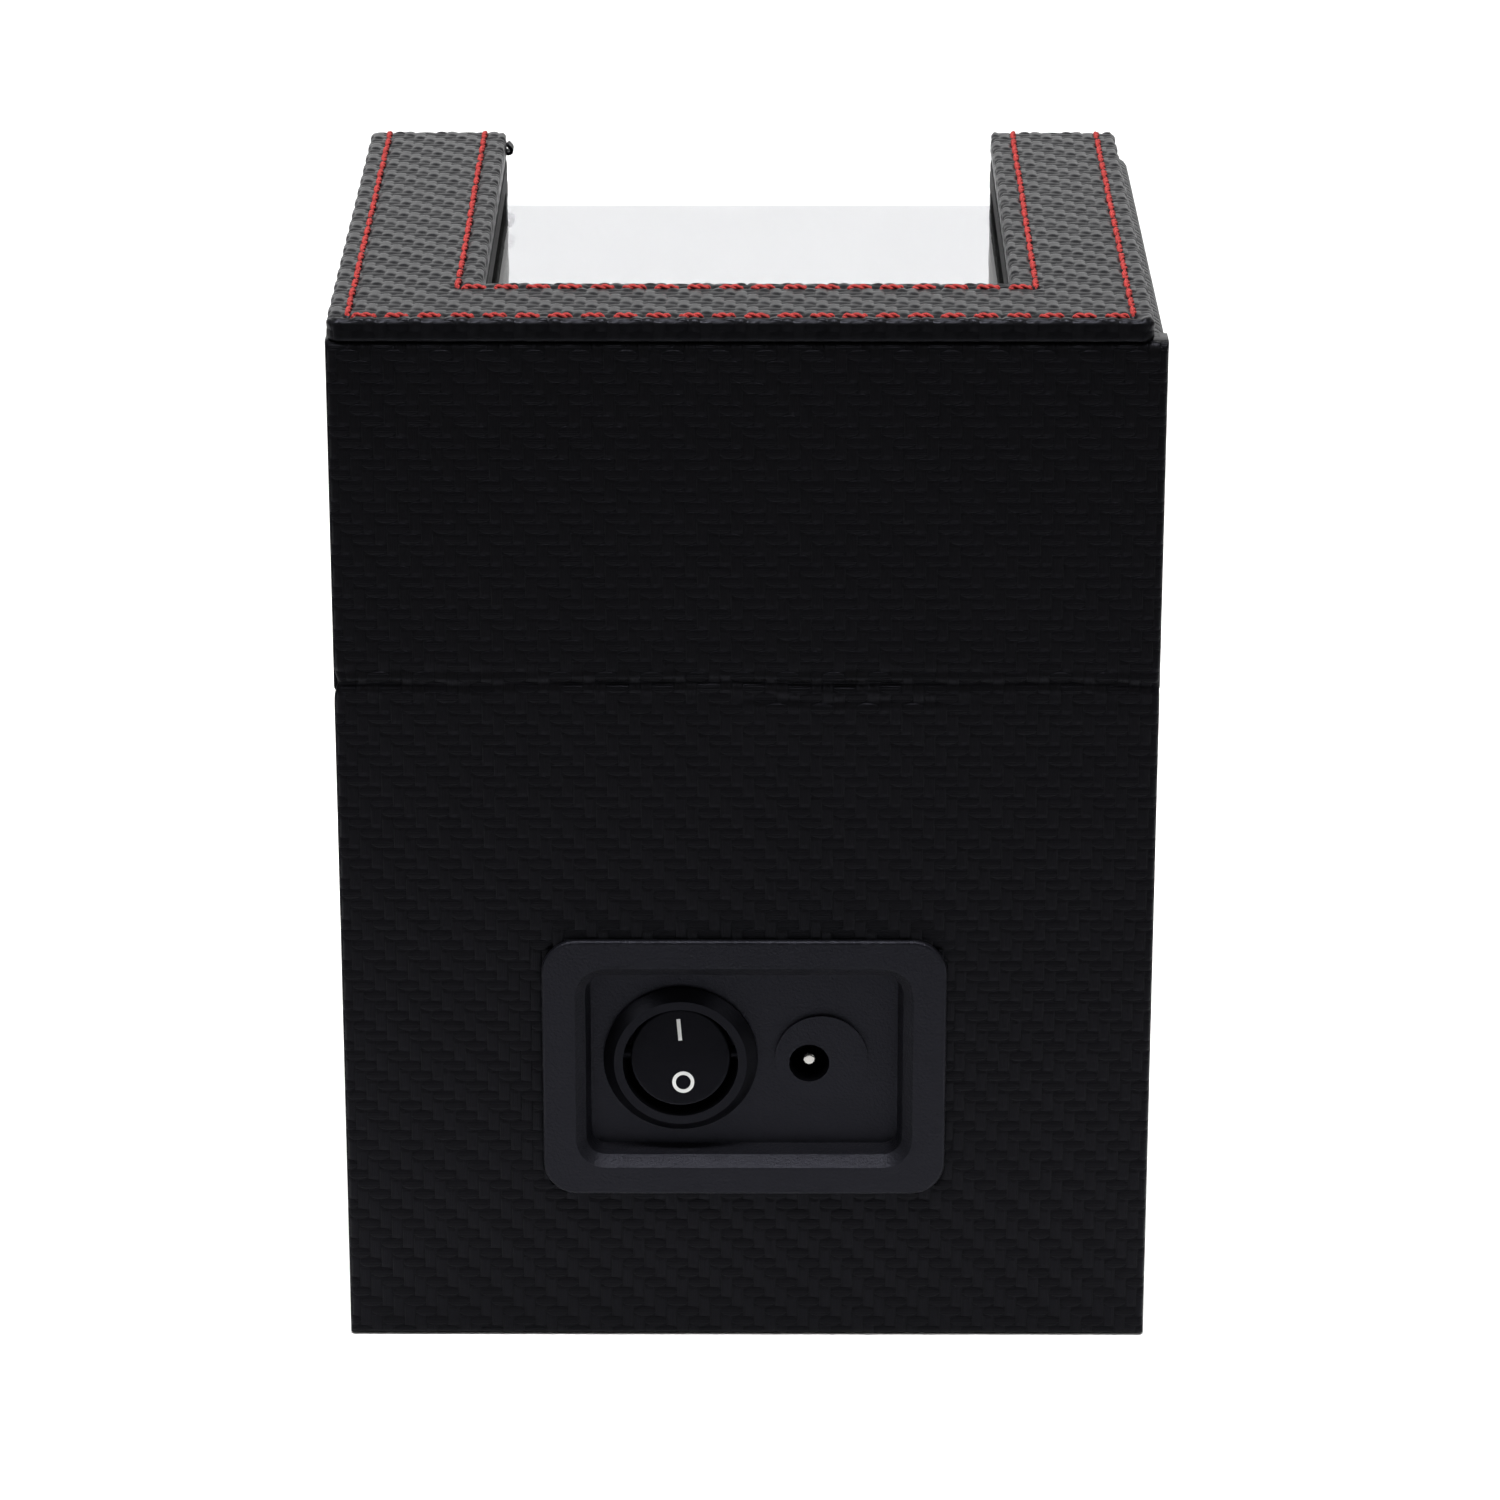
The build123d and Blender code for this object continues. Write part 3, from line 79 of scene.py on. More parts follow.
# ---- shader arithmetic ----
class Field:
    """A socket of a node tree that can be added, multiplied and so on."""

    def __init__(self, tree, socket):
        self.tree = tree
        self.socket = socket

    def _math(self, operation, *others):
        node = self.tree.nodes.new("ShaderNodeMath")
        node.operation = operation
        for slot, value in zip(node.inputs, (self, *others)):
            if isinstance(value, Field):
                self.tree.links.new(value.socket, slot)
            else:
                slot.default_value = value
        return Field(self.tree, node.outputs[0])

    def __add__(self, other):
        return self._math("ADD", other)

    def __sub__(self, other):
        return self._math("SUBTRACT", other)

    def __mul__(self, other):
        return self._math("MULTIPLY", other)

    def __truediv__(self, other):
        return self._math("DIVIDE", other)

    def floor(self):
        return self._math("FLOOR")

    def fract(self):
        return self._math("FRACT")

    def absolute(self):
        return self._math("ABSOLUTE")

    def sine(self):
        return self._math("SINE")

    def power(self, exponent):
        return self._math("POWER", exponent)

    def wrap(self, high):
        return self._math("WRAP", high, 0.0)

    def under(self, limit):
        return self._math("LESS_THAN", limit)

    def over(self, limit):
        return self._math("GREATER_THAN", limit)

    def high(self, other):
        return self._math("MAXIMUM", other)

    def low(self, other):
        return self._math("MINIMUM", other)

    def oval(self, other=None):
        """Rounded like a pillow between 0 and 1: 1 in the middle, 0 outside the oval of one or two values."""
        first = self * 2.0 - 1.0
        reach = first * first
        if isinstance(other, Field):
            second = other * 2.0 - 1.0
            reach = reach + second * second
        return (reach * -1.0 + 1.0).high(0.0).power(0.5)


def shade(name):
    """A new material: its tree and its principled shader."""
    material = bpy.data.materials.new(name)
    material.use_nodes = True
    tree = material.node_tree
    return material, tree, tree.nodes["Principled BSDF"]


def object_axes(tree):
    """X, Y and Z in the object's own metres, and the parts of its normal."""
    coordinate = tree.nodes.new("ShaderNodeTexCoord")
    place = tree.nodes.new("ShaderNodeSeparateXYZ")
    tree.links.new(coordinate.outputs["Object"], place.inputs[0])
    facing = tree.nodes.new("ShaderNodeSeparateXYZ")
    tree.links.new(coordinate.outputs["Normal"], facing.inputs[0])
    return [[Field(tree, socket) for socket in node.outputs] for node in (place, facing)]


def noise(tree, scale, detail=3.0, roughness=0.55, vector=None, stretch=None):
    """A noise texture's value, in object space unless a vector is given."""
    texture = tree.nodes.new("ShaderNodeTexNoise")
    texture.inputs["Scale"].default_value = scale
    texture.inputs["Detail"].default_value = detail
    texture.inputs["Roughness"].default_value = roughness
    if vector is None:
        vector = tree.nodes.new("ShaderNodeTexCoord").outputs["Object"]
    if stretch:
        mapping = tree.nodes.new("ShaderNodeMapping")
        mapping.inputs["Scale"].default_value = stretch
        tree.links.new(vector, mapping.inputs["Vector"])
        vector = mapping.outputs["Vector"]
    tree.links.new(vector, texture.inputs["Vector"])
    return Field(tree, texture.outputs["Fac"])


def ramp(tree, value, *stops):
    """A colour ramp over (position, colour) stops."""
    node = tree.nodes.new("ShaderNodeValToRGB")
    elements = node.color_ramp.elements
    while len(elements) < len(stops):
        elements.new(0.5)
    for element, (position, colour) in zip(elements, stops):
        element.position = position
        element.color = (*colour, 1.0)
    tree.links.new(value.socket, node.inputs["Fac"])
    return node.outputs["Color"]


def spread(value, low, high):
    """A value of 0 to 1 spread between low and high."""
    return value * (high - low) + low


def bump(tree, shader, height, distance, strength=1.0):
    """Feeds a height of about 0 to 1, this many metres deep, to the shader's normal."""
    node = tree.nodes.new("ShaderNodeBump")
    node.inputs["Strength"].default_value = strength
    node.inputs["Distance"].default_value = distance
    tree.links.new(height.socket, node.inputs["Height"])
    tree.links.new(node.outputs["Normal"], shader.inputs["Normal"])


def feed(tree, value, socket):
    tree.links.new(value.socket if isinstance(value, Field) else value, socket)


# ---- leather embossed as a two-by-two twill ----
YARN_WIDE = 1.65
YARN_HIGH = 1.62
TWILL_REPEAT = 4.0
FLOAT_LENGTH = 2.0
FLOAT_END = 0.3
FLOAT_END_LOW = 0.6
CROSSWISE_LOW = 0.6
STRAND = 0.27
STRAND_RELIEF = 0.035
STRAND_ACROSS = 1.6
GRAIN_RELIEF = 0.10
GRAIN_SCALE = 5200.0
BLOTCH_SCALE = 60.0
WEAR_SCALE = 420.0
FACING = 0.7
# The gloss is set for the photograph's exposure: weaker and bluer than that of real leather.
LEATHER_IOR = 1.17
WALL_LEATHER_IOR = 1.14
COOL_GLOSS = (0.80, 0.81, 1.0, 1.0)
# The base colour runs from dark to light: painted shade where the emboss is low and on the crosswise floats, plus
# random blotches of tone.
LEATHER_DARK = (0.0010, 0.0010, 0.0011)
LEATHER_LIGHT = (0.0040, 0.0040, 0.0044)


def twill(tree, across, up):
    """The emboss from surface millimetres: its height, where floats lie crosswise, and the fine strands."""
    column = across / YARN_WIDE
    row = up / YARN_HIGH
    crosswise_phase = (column + row.floor()).wrap(TWILL_REPEAT)
    crosswise = crosswise_phase.under(FLOAT_LENGTH)
    crosswise_height = (crosswise_phase / FLOAT_LENGTH).oval(row.fract())
    upright_phase = (column.floor() + row).wrap(TWILL_REPEAT)
    ends = ((upright_phase - 3.0).absolute() * -1.0 + 1.0).low(FLOAT_END) / FLOAT_END
    upright_height = column.fract().oval() * (ends * (1.0 - FLOAT_END_LOW) + FLOAT_END_LOW)
    height = upright_height * (crosswise * -1.0 + 1.0) + crosswise_height * crosswise * CROSSWISE_LOW
    strands_up = (across * (2.0 * math.pi / STRAND)).sine()
    strands_across = (up * (2.0 * math.pi / STRAND)).sine()
    strands = strands_up * (crosswise * -1.0 + 1.0) + strands_across * crosswise * STRAND_ACROSS
    return height, crosswise, strands


def leather(name, mapped, roughness=0.34, relief=0.26, ior=LEATHER_IOR):
    """Black twill leather with painted shade in the weave's low places and on its crosswise floats. Mapped pieces
    carry millimetres in their UV map, others go by their normals.
    """
    material, tree, shader = shade(name)
    if mapped:
        uv = tree.nodes.new("ShaderNodeUVMap")
        uv.uv_map = "Weave"
        parts = tree.nodes.new("ShaderNodeSeparateXYZ")
        tree.links.new(uv.outputs["UV"], parts.inputs[0])
        across = Field(tree, parts.outputs[0])
        up = Field(tree, parts.outputs[1])
    else:
        (x, y, z), (nx, _, nz) = object_axes(tree)
        faces_side = nx.absolute().over(FACING)
        faces_up = nz.absolute().over(FACING)
        across = (x * (faces_side * -1.0 + 1.0) - y * faces_side) * TO_MM
        up = (z * (faces_up * -1.0 + 1.0) - y * faces_up) * TO_MM
    height, crosswise, strands = twill(tree, across, up)
    grain = noise(tree, GRAIN_SCALE, 2.0)
    blotch = noise(tree, BLOTCH_SCALE, 3.0)
    wear = noise(tree, WEAR_SCALE, 4.0, 0.6)
    whole = height + strands * STRAND_RELIEF + (grain - 0.5) * GRAIN_RELIEF
    bump(tree, shader, whole, relief * MM)
    # Painted shade: darker where the emboss is low and on the crosswise floats. The blotches are random tone.
    tone_with_painted_shade = height * 0.45 + crosswise * -0.22 + blotch * 0.25 + 0.25
    feed(tree, ramp(tree, tone_with_painted_shade, (0.0, LEATHER_DARK), (1.0, LEATHER_LIGHT)), shader.inputs["Base Color"])
    rubbed = wear * 0.5 + crosswise * 0.3 + grain * 0.2
    feed(tree, spread(rubbed, roughness - 0.08, roughness + 0.14), shader.inputs["Roughness"])
    shader.inputs["IOR"].default_value = ior
    shader.inputs["Specular Tint"].default_value = COOL_GLOSS
    return material


def plain(
    name, colour, roughness, metallic=0.0, grain=900.0, depth=0.01, vary=0.18, stretch=None, ior=1.46,
    gloss=WHITE,
):
    """A moulded, turned or painted surface: fine grain in its colour, its roughness and its relief."""
    material, tree, shader = shade(name)
    fine = noise(tree, grain, 4.0, 0.6, stretch=stretch)
    broad = noise(tree, 45.0, 2.0)
    mixed = fine * 0.55 + broad * 0.45
    dark = [channel * (1.0 - vary) for channel in colour]
    light = [min(1.0, channel * (1.0 + vary)) for channel in colour]
    feed(tree, ramp(tree, mixed, (0.25, dark), (0.75, light)), shader.inputs["Base Color"])
    feed(tree, spread(mixed, roughness * 0.8, min(1.0, roughness * 1.2)), shader.inputs["Roughness"])
    bump(tree, shader, fine, depth * MM)
    shader.inputs["Metallic"].default_value = metallic
    shader.inputs["IOR"].default_value = ior
    shader.inputs["Specular Tint"].default_value = gloss
    return material


def fibre(name, colour, scale, depth, sheen=0.0):
    """Felt, flock, board or thread: short fibres lying at random."""
    material, tree, shader = shade(name)
    fibres = noise(tree, scale, 6.0, 0.75, stretch=(1.0, 1.0, 2.4))
    tufts = noise(tree, scale * 0.12, 3.0)
    mixed = fibres * 0.7 + tufts * 0.3
    feed(
        tree,
        ramp(tree, mixed, (0.25, [c * 0.55 for c in colour]), (0.75, [min(1.0, c * 1.5) for c in colour])),
        shader.inputs["Base Color"],
    )
    feed(tree, spread(mixed, 0.82, 0.98), shader.inputs["Roughness"])
    bump(tree, shader, mixed, depth * MM)
    shader.inputs["Sheen Weight"].default_value = sheen
    return material


# The sheet is darker and bends light less than real acrylic, to look as it does in the photograph.
ACRYLIC_COLOUR = (0.68, 0.682, 0.69, 1.0)
ACRYLIC_IOR = 1.01
ACRYLIC_COAT = 0.4
COAT_ROUGHNESS = 0.02
BOW_RELIEF = 0.004 * MM


def acrylic(name):
    """Clear cast sheet with faint rub marks. A coat carries its reflection, so that the bend stays clear."""
    material, tree, shader = shade(name)
    shader.inputs["Base Color"].default_value = ACRYLIC_COLOUR
    shader.inputs["Transmission Weight"].default_value = 1.0
    shader.inputs["IOR"].default_value = ACRYLIC_IOR
    shader.inputs["Coat Weight"].default_value = ACRYLIC_COAT
    shader.inputs["Coat Roughness"].default_value = COAT_ROUGHNESS
    rubs = noise(tree, 30.0, 5.0, 0.7)
    feed(tree, spread(rubs, 0.01, 0.045), shader.inputs["Roughness"])
    bump(tree, shader, noise(tree, 14.0, 1.0), BOW_RELIEF)
    return material


MATERIALS = {
    "leather": leather("twill_leather", mapped=False),
    "fibreboard": fibre("raw_fibreboard", (0.42, 0.30, 0.19), 1500.0, 0.05),
    "edge_board": fibre("black_edge_board", (0.010, 0.010, 0.011), 1500.0, 0.05),
    "felt": fibre("underside_felt", (0.02, 0.02, 0.022), 2600.0, 0.12, sheen=0.3),
    "flock": fibre("flocked_lining", (0.012, 0.012, 0.013), 3800.0, 0.08, sheen=0.15),
    "magnet": plain("nickel_plate", (0.62, 0.61, 0.58), 0.22, metallic=1.0),
    "trim_metal": plain("polished_trim", (0.80, 0.80, 0.82), 0.12, metallic=1.0, grain=500.0, depth=0.002),
    "zinc_steel": plain("zinc_sheet", (0.60, 0.62, 0.65), 0.34, metallic=1.0, stretch=(1.0, 9.0, 9.0)),
    "screw_steel": plain("bright_steel", (0.52, 0.52, 0.53), 0.26, metallic=1.0),
    "housing_aluminium": plain("turned_aluminium", (0.74, 0.74, 0.75), 0.30, metallic=1.0),
    "brass": plain("plain_brass", (0.72, 0.53, 0.25), 0.28, metallic=1.0),
    "gear_nylon": plain("moulded_acetal", (0.78, 0.76, 0.70), 0.42),
    "rotor_steel": plain("laminated_steel", (0.34, 0.32, 0.30), 0.42, metallic=0.9),
    "gearbox_plastic": plain("gearbox_moulding", (0.05, 0.05, 0.055), 0.48),
    "belt_rubber": plain("belt_rubber", (0.02, 0.02, 0.02), 0.62, grain=2200.0),
    "cup_plastic": plain("cup_moulding", (0.018, 0.018, 0.02), 0.20, grain=300.0, depth=0.003),
    "pillow_leather": leather("pillow_leather", mapped=False, roughness=0.42, relief=0.06),
    "panel_plastic": plain(
        "spark_textured_plastic", (0.003, 0.003, 0.004), 0.38,
        grain=2400.0, depth=0.14, vary=0.3, ior=1.24, gloss=COOL_GLOSS,
    ),
    "switch_plastic": plain(
        "switch_plastic", (0.002, 0.002, 0.0026), 0.34,
        grain=2600.0, depth=0.03, vary=0.3, ior=1.19, gloss=COOL_GLOSS,
    ),
    "pin_plating": plain("pin_plating", (0.38, 0.37, 0.35), 0.22, metallic=1.0),
    "circuit_board": plain("solder_mask", (0.02, 0.16, 0.07), 0.32),
    "component_plastic": plain("component_moulding", (0.09, 0.09, 0.10), 0.45),
    "lead_insulation": plain("lead_sheath", (0.03, 0.03, 0.03), 0.45),
    "thread": fibre("waxed_red_thread", (0.23, 0.012, 0.010), 5200.0, 0.05),
    "acrylic": acrylic("clear_acrylic"),
}
mapped_leather = leather("mapped_twill_leather", mapped=True, ior=WALL_LEATHER_IOR)
print_white = plain("printed_white", (0.62, 0.62, 0.61), 0.5, grain=2600.0, vary=0.05)

# These boards show a strip behind and beside the deck, so they are painted black.
PAINTED_BOARDS = ("base_rear_board", "base_side_boards", "base_front_board")
for node_name, node_object in nodes.items():
    look_slot = "edge_board" if node_name in PAINTED_BOARDS else slot_of[node_name]
    node_object.data.materials.clear()
    node_object.data.materials.append(MATERIALS[look_slot])


# ---- mesh helpers ----
def new_piece(name, mesh, material, body):
    """A finished mesh as a piece that rides on a body."""
    piece = bpy.data.objects.new(name, mesh)
    bpy.context.scene.collection.objects.link(piece)
    mesh.materials.clear()
    mesh.materials.append(material)
    if body:
        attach(piece, body)
    return piece


def settle(piece):
    """Applies the piece's modifiers."""
    bpy.context.view_layer.update()
    graph = bpy.context.evaluated_depsgraph_get()
    mesh = bpy.data.meshes.new_from_object(piece.evaluated_get(graph))
    piece.modifiers.clear()
    piece.data = mesh


def arc(start, end, steps):
    """Angles from start to end, both included."""
    return [start + (end - start) * step / steps for step in range(steps + 1)]


def grid_mesh(name, points, weave, keep_cell=None):
    """A sheet from rows of points, with its weave coordinates in millimetres."""
    mesh = bpy.data.meshes.new(name)
    bm = bmesh.new()
    layer = bm.loops.layers.uv.new("Weave")
    verts = [[bm.verts.new(point) for point in row] for row in points]
    for j in range(len(points) - 1):
        for i in range(len(points[0]) - 1):
            if keep_cell and not keep_cell(i, j):
                continue
            corners = ((j, i), (j, i + 1), (j + 1, i + 1), (j + 1, i))
            face = bm.faces.new([verts[a][b] for a, b in corners])
            face.smooth = True
            for loop, (a, b) in zip(face.loops, corners):
                loop[layer].uv = weave[a][b]
    bmesh.ops.delete(bm, geom=[v for v in bm.verts if not v.link_faces], context="VERTS")
    bm.to_mesh(mesh)
    bm.free()
    return mesh


BOX_MIDDLE = Vector((0.0, 0.0, 0.08))


def thicken(piece, thickness, middle=BOX_MIDDLE):
    """Gives a sheet its thickness, on the side towards a middle."""
    outward = sum(face.area * face.normal.dot(face.center - middle) for face in piece.data.polygons)
    if outward < 0.0:
        piece.data.flip_normals()
    solid = piece.modifiers.new("thickness", "SOLIDIFY")
    solid.thickness = thickness
    solid.offset = -1.0
    settle(piece)


SKIN = 0.8 * MM


def rim_height(y, gap):
    """The height of the split plane at this y, less a gap square to it."""
    return hinge.z + (y - hinge.y) * rim_slope - gap / deck_normal.z


# ---- one leather skin over the whole rear: lid, hinge crease and base ----
CORNER = SKIN
CORNER_RUN = 0.6
TOP_ROLL = 1.3 * MM
TOP_FOLD = 5.0 * MM
TOP_FOLD_RUN = 4.0 * MM
FOOT_FOLD = 6.0 * MM
PLATE_LAP = 1.2 * MM
SKIN_STEP = 1.0 * MM
CREASE_STEP = 0.25 * MM
CREASE_STEP_REACH = 7.0 * MM
CREASE_REACH = 14.0 * MM
# From here to the relief, millimetres.
CREASE_HEIGHT = 1.1
CREASE_DEPTH = 0.34
SECOND_CREASE_HEIGHT = -1.2
SECOND_CREASE_DEPTH = 0.17
SECOND_CREASE_FROM = (-34.0, -24.0)
SECOND_CREASE_TO = (-6.0, 4.0)
THIRD_CREASE_HEIGHT = 3.2
THIRD_CREASE_DEPTH = 0.12
PUFF_BELOW = 0.14
PUFF_ABOVE = 0.18
PUFF_SHARE = 0.6
EDGE_PINCH = 0.10
EDGE_PINCH_PITCH = 6.6
SIDE_NIP = 0.55
LEFT_NIP_SHARE = 0.25
NIP_HEIGHT = 1.6
NIP_REACH = 1.5


def soft_step(value, low, high):
    """0 below low, 1 above high, and a smooth rise between."""
    share = min(1.0, max(0.0, (value - low) / (high - low)))
    return share * share * (3.0 - 2.0 * share)


def wander(value, seed, size):
    """A smooth curve of one variable, between about -1 and 1."""
    return math.sin(value / size + seed) * 0.6 + math.sin(value / size * 2.3 + seed * 2.1) * 0.4


def groove(distance, width):
    """A soft valley, 1 deep at distance 0, with a low ridge on each side."""
    reach = distance / width
    return math.exp(-reach * reach) - 0.45 * math.exp(-((abs(reach) - 2.0) ** 2) * 0.9)


def crease_relief(x, z):
    """How far the leather lies behind the flat, from x and the height over the hinge, all in millimetres."""
    line = CREASE_HEIGHT + 0.45 * math.cos(x / 42.0) + 0.25 * wander(x, 0.4, 9.0)
    depth = CREASE_DEPTH * (0.85 + 0.3 * wander(x, 2.0, 13.0))
    relief = depth * groove(z - line, 0.55)
    second = SECOND_CREASE_HEIGHT + 0.35 * wander(x, 1.3, 6.0)
    reach = soft_step(x, *SECOND_CREASE_FROM) * (1.0 - soft_step(x, *SECOND_CREASE_TO))
    relief += SECOND_CREASE_DEPTH * reach * groove(z - second, 0.5)
    third = THIRD_CREASE_HEIGHT + 0.4 * wander(x, 4.2, 5.0)
    relief += THIRD_CREASE_DEPTH * (0.5 + 0.5 * wander(x, 3.3, 11.0)) * groove(z - third, 0.7)
    puff = PUFF_ABOVE * math.exp(-((z - 5.0) / 4.0) ** 2) + PUFF_BELOW * math.exp(-((z + 3.5) / 3.5) ** 2)
    return relief - puff * PUFF_SHARE


def fine_steps(low, high, coarse, fine, centre, reach, through=()):
    """Places from low to high, closer together near a centre, and through each given place."""
    places = set(through)
    value = low
    while value < high:
        places.add(value)
        value += fine if abs(value - centre) < reach else coarse
    places.add(high)
    ordered = sorted(places)
    kept = ordered[:1]
    for place in ordered[1:]:
        if place - kept[-1] > fine * 0.3 or place in through or place == high:
            kept.append(place)
    return kept


def rear_skin():
    """One sheet over base and lid, open behind the recess plate, creased over the hinge and fixed to neither body.
    """
    hole_low = plate_low + Vector((PLATE_LAP, 0, PLATE_LAP))
    hole_high = plate_high - Vector((PLATE_LAP, 0, PLATE_LAP))
    face_y = cover_high.y
    low_x, high_x = cover_low.x, cover_high.x
    low_z, high_z = cover_low.z, cover_high.z
    across = []
    for angle in arc(0.0, math.pi / 2, 5):
        drop = CORNER * (1.0 - math.sin(angle))
        across.append((high_x - CORNER * (1.0 - math.cos(angle)), drop, -CORNER + CORNER * angle))
    flat = fine_steps(
        low_x + CORNER, high_x - CORNER, SKIN_STEP, SKIN_STEP, 0.0, 0.0, (hole_low.x, hole_high.x)
    )
    across += [(x, 0.0, high_x - x) for x in reversed(flat[:-1])]
    for angle in arc(math.pi / 2, 0.0, 5)[1:]:
        drop = CORNER * (1.0 - math.sin(angle))
        run = high_x - low_x + CORNER * (CORNER_RUN - angle)
        across.append((low_x + CORNER * (1.0 - math.cos(angle)), drop, run))
    upward = [(low_z, FOOT_FOLD, low_z - FOOT_FOLD)]
    for angle in arc(-math.pi / 2, 0.0, 5):
        z, back = low_z + CORNER * (1.0 + math.sin(angle)), CORNER * (1.0 - math.cos(angle))
        upward.append((z, back, low_z + CORNER * (1.0 + angle * CORNER_RUN)))
    heights = fine_steps(
        low_z + CORNER, high_z - TOP_ROLL, SKIN_STEP, CREASE_STEP, hinge.z, CREASE_STEP_REACH,
        (hole_low.z, hole_high.z),
    )
    upward += [(z, 0.0, z) for z in heights[1:]]
    for angle in arc(0.0, math.pi / 2, 6)[1:]:
        z, back = high_z - TOP_ROLL * (1.0 - math.sin(angle)), TOP_ROLL * (1.0 - math.cos(angle))
        upward.append((z, back, high_z - TOP_ROLL * (1.0 - angle)))
    upward.append((high_z, TOP_FOLD, high_z + TOP_FOLD_RUN))
    points, weave = [], []
    for z, back_z, v in upward:
        row, row_weave = [], []
        for x, back_x, u in across:
            relief = 0.0
            if abs(z - hinge.z) < CREASE_REACH:
                relief = crease_relief(x * TO_MM, (z - hinge.z) * TO_MM) * MM
            pinch = 0.0
            if z > high_z - 1.2 * TOP_ROLL and back_z < TOP_ROLL:
                pinch = EDGE_PINCH * MM * math.sin((u * TO_MM) * 2.0 * math.pi / EDGE_PINCH_PITCH)
            end = soft_step(abs(x), high_x - 4.0 * MM, high_x)
            nip = SIDE_NIP * MM * end * math.exp(-(((z - hinge.z) * TO_MM - NIP_HEIGHT) / NIP_REACH) ** 2)
            side_nip = nip if x > 0 else nip * LEFT_NIP_SHARE
            row.append((x - math.copysign(side_nip, x), face_y - max(back_x, back_z) - relief + pinch, z))
            row_weave.append((u * TO_MM, v * TO_MM))
        points.append(row)
        weave.append(row_weave)

    def keep_cell(i, j):
        x = (across[i][0] + across[i + 1][0]) / 2
        z = (upward[j][0] + upward[j + 1][0]) / 2
        return not (hole_low.x < x < hole_high.x and hole_low.z < z < hole_high.z)

    mesh = grid_mesh("rear_leather", points, weave, keep_cell)
    piece = new_piece("rear_leather", mesh, mapped_leather, None)
    thicken(piece, SKIN)
    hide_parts("base_rear_cover", "lid_rear_cover")
    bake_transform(piece)


rear_skin()


# ---- stitched, leather-wrapped panels of the lid ----
PANEL_ROLL = 0.9
PANEL_TUCK = 0.5
PANEL_CORNER = 1.9
PANEL_END_CORNER = 0.9
PANEL_RELIEF = 0.27
RELIEF_MIDDLE = 0.75
WALL_FLATTENED = 0.7
FRONT_LEAN_REACH = 2.5
FRONT_GAP = 0.4
PANEL_PITCH = 0.36
OUTER_ROW_SIDE = 3.0
OUTER_ROW_END = 2.3
INNER_ROW_SIDE = 3.5
INNER_ROW_END = 2.5
STITCH_PITCH = 4.6
STITCH_GAP = 0.8
THREAD_R = 0.28
PLY_OFFSET = 0.21
PLY_TURNS = 1.35
THREAD_LEAN = 0.035
THREAD_ASIDE = 0.05
THREAD_SIDES = 7
THREAD_CUTS = 16
THREAD_SUNK = 0.37
THREAD_LIFT = 0.26
THREAD_DIP = 0.5
PRESS_REACH = 2.5
FURROW_DEPTH = 0.16
FURROW_WIDE = 0.75
HOLE_DEPTH = 0.30
HOLE_WIDE = 0.42


def oval(first, second):
    return math.sqrt(max(0.0, 1.0 - (2.0 * first - 1.0) ** 2 - (2.0 * second - 1.0) ** 2))


def twill_height(across, up):
    """The emboss as geometry, 0 to 1, from surface millimetres."""
    column, row = across / YARN_WIDE, up / YARN_HIGH
    phase = (column + math.floor(row)) % TWILL_REPEAT
    if phase < FLOAT_LENGTH:
        return CROSSWISE_LOW * oval(phase / FLOAT_LENGTH, row % 1.0)
    phase = (math.floor(column) + row) % TWILL_REPEAT
    ends = min(FLOAT_END, 1.0 - abs(phase - 3.0)) / FLOAT_END
    return oval(0.5, column % 1.0) * (FLOAT_END_LOW + (1.0 - FLOAT_END_LOW) * ends)


class StitchRow:
    """A straight row of stitches from one place to another on a panel, in its own millimetres."""

    def __init__(self, start, end):
        self.start = Vector((*start, 0.0))
        self.length = (Vector((*end, 0.0)) - self.start).length
        self.along = (Vector((*end, 0.0)) - self.start).normalized()
        self.count = max(1, round(self.length / STITCH_PITCH))
        self.pitch = self.length / self.count

    def press(self, a, b):
        """How deep the thread pulls the leather in at this place, in millimetres."""
        offset = Vector((a, b, 0.0)) - self.start
        run = offset.dot(self.along)
        if run < -2.0 or run > self.length + 2.0:
            return 0.0
        aside = (offset - self.along * run).length
        if aside > PRESS_REACH:
            return 0.0
        to_hole = abs((run / self.pitch + 0.5) % 1.0 - 0.5) * self.pitch
        furrow = FURROW_DEPTH * math.exp(-(aside / FURROW_WIDE) ** 2)
        hole = HOLE_DEPTH * math.exp(-(aside / HOLE_WIDE) ** 2 - (to_hole / HOLE_WIDE) ** 2)
        return furrow + hole


